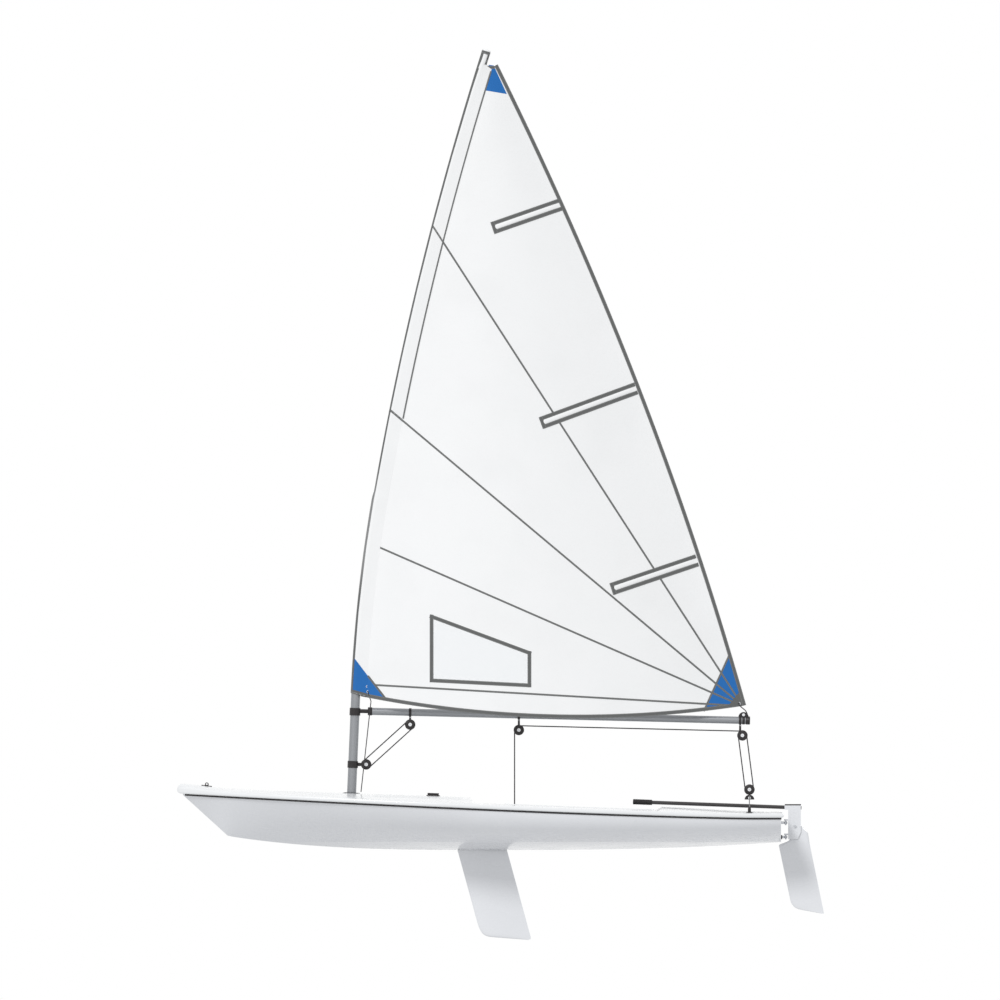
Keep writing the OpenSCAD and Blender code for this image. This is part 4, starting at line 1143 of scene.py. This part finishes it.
def sleeve_wrap(shape, heights, low, high, columns):
    """A layer on the sleeve over the given columns of its ring; heights gives each column's."""
    rows = []
    for c in columns:
        top, under = ([sleeve_ring(z, lift)[c % n_sec] for z in heights(c)] for lift in (high, low))
        rows.append(top + list(reversed(under)))
    shape.loft(rows, [i * 0.004 for i in range(len(rows))])


def ring_height(c, z, edge):
    """The height at which column c of the sleeve meets an edge, which gives z by x, found from z."""
    for _ in range(12):
        at = sleeve_ring(z)[c % n_sec]
        z += edge(at.x) - at.z
    return z


def patch_top(x):
    """Height of the tack patch's slanting edge at x."""
    (x0, z0), (x1, z1) = TACK[0], TACK[2]
    return mix(z1, z0, (x - x1) / (x0 - x1))


ALL_ROUND, PORT_SIDE, STAR_SIDE, FORE_SIDE = range(n_sec + 1), range(42, 66), range(17, 41), range(6, 29)
FORE_EDGE, REAR_TOP = range(10, 25), range(31, 52)
tack_wrap = Shape()
sleeve_wrap(tack_wrap, lambda c: levels_to(SLEEVE_LOW_Z + 1, ring_height(c, 1180.0, patch_top), 8), 0.15, 0.9,
            ALL_ROUND)
near_x = luff_x(1100) - SLEEVE_EDGE
for side in (1, -1):
    triangle(tack_wrap, [(near_x, patch_top(near_x)), (near_x, 1026), (TACK[2][0], 990)], 0.5, 1.9, side, 30)
build("tack_patch", tack_wrap, M["patch"], "rig", degrees=50)

seam_wraps = Shape()
for end_x, end_z in LUFF_ENDS:
    rise = (end_z - CLEW[1]) / (end_x - CLEW[0])
    for columns in (PORT_SIDE, STAR_SIDE):
        sleeve_wrap(seam_wraps, lambda c: [ring_height(c, end_z, lambda x: end_z + rise * (x - end_x)) + d
                                           for d in (-8, 0, 8)], 0.15, 1.1, columns)
build("sleeve_seams", seam_wraps, M["seam"], "rig", degrees=50)

# Dark tape on the fore edge, up the rear of the bare top, and round the sleeve's foot and top
wraps = Shape()
for heights, high, columns in (
        (lambda c: levels_to(SLEEVE_LOW_Z + 1, MAST_TOP[1] + 1 if c in FORE_EDGE else HEAD[1] - 20, 150),
         1.5, FORE_SIDE),
        (lambda c: levels_to(HEAD[1] + 18, MAST_TOP[1] + 1, 8), 1.5, REAR_TOP),
        (lambda c: [SLEEVE_LOW_Z + d for d in (-0.5, 6, 13, 20, 25)], 1.9, ALL_ROUND),
        (lambda c: [MAST_TOP[1] - d for d in (18, 12, 6, -1)], 1.9, ALL_ROUND)):
    sleeve_wrap(wraps, heights, 0.2, high, columns)
slant_x = luff_x(1230) - SLEEVE_EDGE
for side in (1, -1):
    band(wraps, [(slant_x, patch_top(slant_x)), (TACK[2][0], TACK[2][1] + 4)], 14, 0.5, 2.2, side)
build("luff_tape", wraps, M["tape"], "rig", degrees=50)


# ---------------------------------------------------------------- eyelets and ropes
def eyelet(shape, x, z, radius):
    y = sail_y(x, z)
    ring = [(-2.6, radius), (-2.0, radius + 4), (2.0, radius + 4), (2.6, radius), (1.2, radius - 1.5),
            (-1.2, radius - 1.5)]
    shape.lathe(ring, (x, y, z), (0, 1, 0), 28, ring=True)


eyes = Shape()
CLEW_EYE, TACK_EYE = (-1812, 968), (784, 1052)
eyelet(eyes, *CLEW_EYE, 9)
eyelet(eyes, *TACK_EYE, 7)
eyelet(eyes, 790, 1088, 5.1)
build("sail_eyelets", eyes, M["steel"], "rig")

BLOCK_R, GROOVE_R, LINE_R, THIN_LINE_R = 37.0, 30, 4.2, 3.4
CHEEK_IN, CHEEK_OUT, SHEAVE_HALF = 4.6, 10.6, 4.3


def arc(centre, r, a0, a1, n):
    """Points (x, z) on a circle, a0 to a1 in degrees from +X towards +Z."""
    return [(centre[0] + r * math.cos(math.radians(mix(a0, a1, i / n))),
             centre[1] + r * math.sin(math.radians(mix(a0, a1, i / n)))) for i in range(n + 1)]


def wrap(centre, r, a0, a1, y=0.0, n=14):
    """The same round a sheave, as points in space."""
    return [(x, y, z) for x, z in arc(centre, r, a0, a1, n)]


def line(name, paths, radius=LINE_R, sides=14, body="rig", closed=False):
    """A rope, or more than one in the same piece, along the given points."""
    shape = Shape()
    for path in paths:
        shape.tube(path, radius, sides, closed)
    return build(name, shape, M["rope"], body)


def block_centre(node):
    lo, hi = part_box(node)
    return (lo + hi) / 2 / MM


VANG_LOW, VANG_HIGH, MID, END = (797, 543), (489, 822), (-272, 784), (-1837, 746)
trav = block_centre("traveller_block")
ratchet = block_centre("ratchet_block")
RATCHET = (ratchet.x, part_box("ratchet_block")[1].z / MM - BLOCK_R)
TRAV = (trav.x, trav.z)


def rope_block(shape, centre, strap_to=None, lead=0.0):
    """Cheeks with rounded rims, a pale sheave between them and a pale hub on each side.

    strap_to is the height that its two straps reach, lead how far fore of its axis they stand.
    """
    r, c = BLOCK_R, (centre[0], 0.0, centre[1])
    cheek = [(CHEEK_IN, 0.3), (CHEEK_IN, r - 2.5), (5.4, r - 0.8), (7.2, r), (9.0, r - 0.8), (10.3, r - 3.2),
             (CHEEK_OUT, r * 0.62), (11.4, r * 0.56), (11.4, r * 0.36), (10.8, r * 0.34), (10.8, 0.3)]
    hub = [(9.5, 0.3), (9.5, r * 0.34), (11.2, r * 0.34), (12.3, r * 0.30), (12.5, 4.5), (12.5, 0.3)]
    rivet = [(12.0, 0.2), (12.0, 4.2), (13.2, 3.4), (13.6, 0.2)]
    wheel = [(-SHEAVE_HALF, r - 3.5), (-2.6, r - 6.5), (0, r - 11), (2.6, r - 6.5), (SHEAVE_HALF, r - 3.5)]
    for s in (-1, 1):
        for m, (prof, sides) in enumerate(((cheek, 44), (hub, 32), (rivet, 16))):
            shape.lathe(prof, c, (0, s, 0), sides, m=m)
    shape.lathe([(-SHEAVE_HALF, 0.3)] + wheel + [(SHEAVE_HALF, 0.3)], c, (0, 1, 0), 40, m=1)
    if strap_to is not None:
        x, low = c[0] + lead, c[2] + r * 0.3
        for s in (-1, 1):
            shape.plate([(x - 8, low), (x + 8, low), (x + 7, strap_to), (x - 7, strap_to)],
                        s * 10.4 - 0.9, s * 10.4 + 0.9)
            shape.lathe([(0, 0.2), (0, 4.5), (1.6, 3.6), (2.0, 0.2)], (x, s * 11.2, strap_to - 12), (0, s, 0), 14,
                        m=2)


def boom_band(shape, x):
    s = (BOOM_FRONT[0] - x) / math.cos(DROOP)
    prof = [(-9, BOOM_R + 0.3), (-9, BOOM_R + 2.6), (-7.5, BOOM_R + 3.5), (7.5, BOOM_R + 3.5),
            (9, BOOM_R + 2.6), (9, BOOM_R + 0.3)]
    shape.lathe(prof, boom_at(s), boom_at(0) - boom_at(100), 48, ring=True)


fits = [M["black"], M["pale"], M["steel"]]
for node, name, centre, lead in (("vang_upper_block", "vang_boom_block", VANG_HIGH, 0),
                                 ("sheet_mid_block", "mainsheet_mid_block", MID, 0),
                                 ("sheet_end_block", "mainsheet_end_block", END, 16)):
    s = Shape()
    x = centre[0] + lead
    rope_block(s, centre, strap_to=boom_z(x) - BOOM_R + 2, lead=lead)
    boom_band(s, x)
    build(name, s, fits, "rig", (node,), bevel=0.5)
s = Shape()
rope_block(s, VANG_LOW)
s.plate([(VANG_LOW[0] + dx, VANG_LOW[1] + dz) for dx, dz in ((20, -10), (42, -8), (42, 8), (20, 10))], -4, 4)
build("vang_mast_block", s, fits, "rig", ("vang_lower_block",), bevel=0.5)
s = Shape()
rope_block(s, TRAV)
link = (TRAV[0], TRAV[1] - 70)
for side in (-1, 1):
    s.plate(arc(link, 34, 0, 180, 20), side * 4.4, side * 8.6)
s.lathe([(-9.4, 0.3), (-9.4, 7), (-8.6, 9.5), (8.6, 9.5), (9.4, 7), (9.4, 0.3)], (link[0], 0, link[1] + 12),
        (0, 1, 0), 28, m=1)
s.tube([(link[0], 0, link[1] + 26), (link[0], 0, TRAV[1] - 26)], 7.5, 16)
build("traveller_sheet_block", s, fits, "hull", ("traveller_block",))
s = Shape()
rope_block(s, RATCHET)
neck = [(0, 0.3), (0, 30), (3, 30), (5, 27.5), (5.6, 12), (9, 9.5), (20, 8.5), (30, 9.5), (34, 6), (34, 0.3)]
s.lathe(neck, (RATCHET[0], 0, SOLE_Z + 0.3), (0, 0, 1), 40)
for k in range(4):
    a = math.radians(45 + 90 * k)
    s.lathe([(5, 0.2), (5, 3.6), (6.4, 3.0), (6.8, 0.2)],
            (RATCHET[0] + 21 * math.cos(a), 21 * math.sin(a), SOLE_Z + 0.3), (0, 0, 1), 14, m=2)
build("ratchet_sheet_block", s, fits, "hull", ("ratchet_block",), bevel=0.4)

# Mainsheet: from the ratchet block up to the boom, aft along it and down to the traveller
fall_top = (MID[0] + GROOVE_R, 0, MID[1])
fall_low = (RATCHET[0] + GROOVE_R, 0, RATCHET[1])
path = wrap(RATCHET, GROOVE_R, -150, 0)[:-1] + straight(fall_low, fall_top, 60)
fall = line("mainsheet_fall", [path], body=None)
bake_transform(fall, "hull", "rig", start=(MID[0] * MM, 0, 0.18), end=(MID[0] * MM, 0, 0.76))
RUN_ANGLE, FALL_ANGLE = 91.4, 184
path = wrap(MID, GROOVE_R, 0, RUN_ANGLE)
round_end = wrap(END, GROOVE_R, RUN_ANGLE, FALL_ANGLE)
line("mainsheet_boom_run", [path + straight(path[-1], round_end[0], 40)[1:] + round_end[1:]])
lowest = wrap(TRAV, GROOVE_R, FALL_ANGLE, FALL_ANGLE + 180, n=24)
up_end = wrap(END, GROOVE_R, FALL_ANGLE - 180, FALL_ANGLE - 180, n=1)[0]
tail = line("mainsheet_tail", [straight(round_end[-1], lowest[0], 40) + lowest[1:]
                               + straight(lowest[-1], up_end, 40)[1:]], body=None)
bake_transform(tail, "hull", "rig", start=(END[0] * MM, 0, TRAV[1] * MM), end=(END[0] * MM, 0, END[1] * MM))

ang = math.degrees(math.atan2(VANG_HIGH[1] - VANG_LOW[1], VANG_HIGH[0] - VANG_LOW[0]))
path = wrap(VANG_HIGH, GROOVE_R, ang - 90, ang + 90, n=18)
back = wrap(VANG_LOW, GROOVE_R, ang + 90, ang + 270, n=18)
path += straight(path[-1], back[0], 20)[1:-1] + back
path += straight(back[-1], path[0], 20)[1:-1]
line("vang_line", [path], closed=True)

# Cunningham: through the eyelet above the tack, then down beside the mast to the deck
ty = sail_y(*TACK_EYE)
deck_end = (833, 34, deck_z(833, 34) + 12)
path = [(TACK_EYE[0] + dx, ty + dy, TACK_EYE[1] + dz)
        for dx, dy, dz in ((0, -9, 2), (0, 0, 1), (-1, 5, -2), (-3, 4, -14))]
cun = line("cunningham_line", [path + straight((763, 40, 985), deck_end, 40)], THIN_LINE_R, 12, None)
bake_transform(cun, "hull", "rig", start=(0.833, 0.034, 0.36), end=(0.763, 0.034, 0.97))
line("cunningham_knot", [wrap((TACK_EYE[0], TACK_EYE[1] + 1), 6, 0, 330, ty - 8, 18)], 3.2, 10)

# Outhaul: the lashing from the clew eyelet to the eye on the boom
EYE_X = -1845
ez = boom_z(EYE_X) + BOOM_R + 17
cy = sail_y(*CLEW_EYE)
line("outhaul_lashing", [[
    (EYE_X - 26, dy, ez + 3), (EYE_X - 14, dy, ez + 26), (CLEW_EYE[0] - 8, cy + dy * 1.5, CLEW_EYE[1] - 16),
    (CLEW_EYE[0], cy + dy, CLEW_EYE[1]), (CLEW_EYE[0] + 5, cy, CLEW_EYE[1] + 5)] for dy in (-5.5, 5.5)], 3.6, 12)
becket = Shape()
seat = (EYE_X, boom_z(EYE_X) + BOOM_R - 3)
for s in (-1, 1):
    becket.plate(arc(seat, 36, 0, 180, 20), s * 4.6, s * 9.6)
hub = [(-11.5, 0.3), (-11.5, 8), (-10.5, 10.5), (10.5, 10.5), (11.5, 8), (11.5, 0.3)]
becket.lathe(hub, (seat[0], 0, seat[1] + 16), (0, 1, 0), 28, m=1)
wheel = [(-SHEAVE_HALF, 0.3), (-SHEAVE_HALF, 27), (0, 23), (SHEAVE_HALF, 27), (SHEAVE_HALF, 0.3)]
becket.lathe(wheel, (seat[0], 0, seat[1] + 5), (0, 1, 0), 40)
boom_band(becket, seat[0])
build("outhaul_becket", becket, [M["black"], M["pale"]], "rig", ("outhaul_eye",), bevel=0.9)

# Traveller: a rope bridle between two fairleads, with the sheet block at its crown
lead_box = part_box("traveller_fairleads")
TRAV_X, LEAD_Y = TRAV[0], 500
top_z = TRAV[1] - BLOCK_R - 2.4
lead_z = lead_box[1].z / MM - 11
bridle = Shape()
path = []
for side in (-1, 1):
    leg = straight((TRAV_X, side * (LEAD_Y + 26), lead_z - 3), (TRAV_X, side * (LEAD_Y + 6), lead_z), 3)
    leg += straight((TRAV_X, side * (LEAD_Y - 8), lead_z + 1.5), (TRAV_X, side * 8, top_z - 1.5), 24)
    path += leg if side < 0 else [(TRAV_X, 0, top_z)] + list(reversed(leg))
bridle.tube(path, THIN_LINE_R, 14)
for side in (-1, 1):
    centre = Vector((TRAV_X, side * (LEAD_Y + 20), lead_z - 2))
    for k in range(2):
        bridle.tube([centre + Vector((5.2 * math.cos(a), side * (k * 5 - 2), 5.2 * math.sin(a)))
                     for a in (2 * math.pi * i / 14 for i in range(14))], 3.0, 10, closed=True)
build("traveller_bridle", bridle, M["rope"], "hull", ("traveller_line",))


# ---------------------------------------------------------------- fittings
FITTINGS = {  # look, body and slot: CAD node, piece and bevel
    ("black", "rig", "black_fitting"): (
        ("gooseneck", "gooseneck_fitting", 2.5), ("vang_tang", "vang_mast_plate", 2.0),
        ("mast_collar", "mast_joint_collar", 1.0), ("mast_cap", "mast_top_plug", 1.5)),
    ("black", "hull", "black_fitting"): (
        ("traveller_fairleads", "bridle_fairleads", 1.2), ("bow_eye", "bow_towing_eye", 1.2),
        ("deck_cleats", "deck_line_cleats", 1.5), ("drain_plug", "transom_drain_plug", 1.5)),
    ("steel", "hull", "stainless"): (("gudgeons", "rudder_gudgeons", 0.8),),
    ("hull", "hull", "gelcoat_deck"): (("daggerboard_case", "board_trunk", 0.8),),
    ("mould", "hull", "moulded_grey"): (("mast_step", "mast_step_tube", 1.0),),
    ("mould", "daggerboard", "moulded_grey"): (("daggerboard_stop", "daggerboard_cap", 3.0),),
    ("foil", "rudder_head", "gelcoat_hull"): (("rudder_head", "rudder_stock", 2.0),),
    ("steel", "rudder_head", "stainless"): (
        ("pintles", "rudder_pins", 0.8), ("blade_bolt", "blade_pivot_bolt", 0.8)),
}
for (look, body, slot), rows in FITTINGS.items():
    for node, name, bevel in rows:
        refine(node, name, M[look], body, bevel)


def screw(shape, p, axis, r=4.0, m=0):
    shape.lathe([(-0.5, 0.2), (-0.5, r), (1.0, r * 0.8), (1.6, r * 0.45), (1.6, 0.2)], p, axis, 14, m=m)


trim = Shape()
step_z = deck_z(MAST_DECK[0], 0)
ring = [(-3, 43), (-3, 62), (-0.5, 62), (2, 60), (4, 54), (6, 46), (6, 43)]
trim.lathe(ring, (mast_x(step_z), 0, step_z), MAST_AXIS, 56, ring=True)
build("mast_deck_ring", trim, M["mould"], "hull")
bolts = Shape()
for node, inset, ys, r in (("bow_eye", 10, (0,), 4.0), ("deck_cleats", 8, (-47, 0, 47), 3.6)):
    lo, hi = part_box(node)
    for x in (lo.x / MM + inset, hi.x / MM - inset):
        for y in ys:
            screw(bolts, (x, y, deck_z(x, 0) + 5.6), (0, 0, 1), r)
for level in (35, 135):
    for y in (-22, 22):
        screw(bolts, (TRANSOM_X - 4.4, y, level), (-1, 0, 0), 4.2)
for side in (-1, 1):
    for dx in (-16, 16):
        screw(bolts, (TRAV_X + dx, side * LEAD_Y, lead_box[0].z / MM + 5.6), (0, 0, 1), 3.2)
build("fitting_screws", bolts, M["steel"], "hull")

# Hiking strap: flat webbing from a plate on the sole to the cockpit's after wall
strap = Shape()
STRAP_UP, STRAP_HALF, STRAP_SAG = 56, 25, 5
ramp = [(-188, 0), (-224, 0), (-238, 7), (-262, 29), (-283, 48), (-300, STRAP_UP)]
route = [(WELL_X1 + dx, up) for dx, up in ramp]
route += [(mix(route[-1][0], WELL_X0 + 3, i / 24), STRAP_UP - STRAP_SAG * math.sin(math.pi * i / 24))
          for i in range(1, 25)]
rows, us, run = [], [], 0.0
for i, (px, pz) in enumerate(route):
    run += math.dist(route[i], route[i - 1]) if i else 0
    us.append(run * MM)
    zz = SOLE_Z + 1.9 + pz
    ring = [(px, y, zz + 1.4) for y in (-24, -12, 0, 12, 24)] + [(px, STRAP_HALF, zz)]
    ring += [(px, y, zz - 1.4) for y in (24, 12, 0, -12, -24)] + [(px, -STRAP_HALF, zz)]
    rows.append(ring)
strap.loft(rows, us, [0.02, 0.25, 0.5, 0.75, 0.98, 1.0, 0.98, 0.75, 0.5, 0.25, 0.02, 0.0])
build("hiking_strap_web", strap, M["web"], "hull", ("hiking_strap",))
pads = Shape()
pads.box((WELL_X1 - 206, 0, SOLE_Z + 5.2), (26, 56, 3.4))
pads.box((WELL_X0 + 7.5, 0, SOLE_Z + STRAP_UP + 1), (4, 58, 20))
for y in (-17, 17):
    screw(pads, (WELL_X1 - 206, y, SOLE_Z + 7), (0, 0, 1), 4, 1)
    screw(pads, (WELL_X0 + 9.6, y, SOLE_Z + STRAP_UP + 1), (1, 0, 0), 4, 1)
build("strap_plates", pads, [M["black"], M["steel"]], "hull", bevel=1.0)

# ---------------------------------------------------------------- rudder gear
strap_top = Shape()
strap_top.box((-2190, 0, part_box("rudder_head")[1].z / MM - 3.5), (114, 41, 9))
build("tiller_strap", strap_top, M["black"], "rudder_head", bevel=1.5)
low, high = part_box("tiller")
TILLER_R = 13
t0, t1 = Vector((low.x / MM, 0, low.z / MM + TILLER_R)), Vector((high.x / MM, 0, high.z / MM - TILLER_R))
tiller_dir = (t1 - t0).normalized()
stick = Shape()
n = 30
end_r = TILLER_R - 1.2
stick.tube([t0.lerp(t1, i / n) for i in range(n + 1)], [end_r] + [TILLER_R] * (n - 1) + [end_r], 40)
build("tiller_bar", stick, M["tiller"], "rudder_head", ("tiller",))
g_lo, g_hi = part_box("tiller_grip")
length = (g_hi.x - g_lo.x) / MM
start = t0 + tiller_dir * ((g_lo.x / MM - t0.x) / tiller_dir.x)
GRIP_R = 19
prof = [(0, TILLER_R + 0.4), (0, 17), (2, 18.6), (5, GRIP_R)]
t = 8.0
while t < length - 12:
    prof += [(t, GRIP_R), (t + 0.8, 17.9), (t + 2.6, 17.9), (t + 3.4, GRIP_R)]
    t += 7.0
prof += [(length - 8, GRIP_R), (length - 4, 18.6), (length - 1.4, 16), (length, 10), (length, 0.3)]
grip = Shape()
grip.lathe(prof + [(length - 14, 0.3), (length - 14, TILLER_R + 0.4)], start, tiller_dir, 44, ring=True)
build("tiller_grip_rubber", grip, M["rubber"], "rudder_head", ("tiller_grip",))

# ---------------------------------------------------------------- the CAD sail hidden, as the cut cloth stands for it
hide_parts("sail")


# ---------------------------------------------------------------- floor, light and camera
def nodes_of(tree, *rows):
    """Clears a tree and adds nodes by kind and inputs: a pair links to an earlier node's output."""
    tree.nodes.clear()
    made = []
    for kind, inputs in rows:
        node = tree.nodes.new("ShaderNode" + kind)
        for key, value in inputs.items():
            if isinstance(value, tuple) and len(value) == 2:
                tree.links.new(made[value[0]].outputs[value[1]], node.inputs[key])
            else:
                node.inputs[key].default_value = value
        made.append(node)
    return made


world = bpy.data.worlds.new("studio")
bpy.context.scene.world = world
world.use_nodes = True
studio = nodes_of(
    world.node_tree,
    ("Background", {"Color": (0.97, 0.985, 1, 1), "Strength": 0.68}),
    ("Background", {"Color": (1, 1, 1, 1), "Strength": 1.0}),
    ("LightPath", {}),
    ("Math", {0: (2, "Is Camera Ray"), 1: (2, "Is Glossy Ray")}),
    ("Math", {0: (3, 0), 1: (2, "Is Transmission Ray")}),
    ("MixShader", {0: (4, 0), 1: (0, 0), 2: (1, 0)}),
    ("OutputWorld", {"Surface": (5, 0)}))
for node in studio[3:5]:
    node.operation, node.use_clamp = "ADD", True


def sun(name, towards, energy, softness):
    data = bpy.data.lights.new(name, "SUN")
    data.energy, data.angle = energy, math.radians(softness)
    o = bpy.data.objects.new(name, data)
    o.rotation_mode = "QUATERNION"
    o.rotation_quaternion = Vector(towards).to_track_quat("-Z", "Y")
    bpy.context.scene.collection.objects.link(o)


sun("key_light", (-0.35, -0.75, -0.62), 1.3, 14)
sun("fill_light", (0.45, 0.8, -0.4), 0.6, 30)

water = Shape()
FLOOR = 160000
water.v = [(FLOOR * math.cos(a), FLOOR * math.sin(a), 0) for a in (2 * math.pi * i / 64 for i in range(64))]
water.face(list(range(64)))
floor_mat = bpy.data.materials.new("pale_floor")
floor_mat.use_nodes = True
nodes_of(
    floor_mat.node_tree,
    ("BsdfDiffuse", {"Color": (0.86, 0.87, 0.88, 1)}),
    ("Emission", {"Color": (1, 1, 1, 1), "Strength": 0.16}),
    ("AddShader", {0: (0, 0), 1: (1, 0)}),
    ("BsdfTransparent", {}),
    ("MixShader", {0: 0.55, 1: (3, 0), 2: (2, 0)}),
    ("OutputMaterial", {"Surface": (4, 0)}))
floor = build("pale_floor", water, floor_mat)
floor.visible_shadow = False
floor.visible_diffuse = False

scene = bpy.context.scene
scene.view_settings.view_transform = "Standard"
camera = bpy.data.cameras.new("side_view")
camera.type = "ORTHO"
camera.ortho_scale = 7.0
camera.clip_start, camera.clip_end = 0.1, 400
eye_point = bpy.data.objects.new("side_view", camera)
eye_point.location = (-0.14, 14.0, 2.394)  # square on to the port side, bow to the left
eye_point.rotation_euler = (math.radians(90), 0, math.radians(180))
scene.collection.objects.link(eye_point)
scene.camera = eye_point
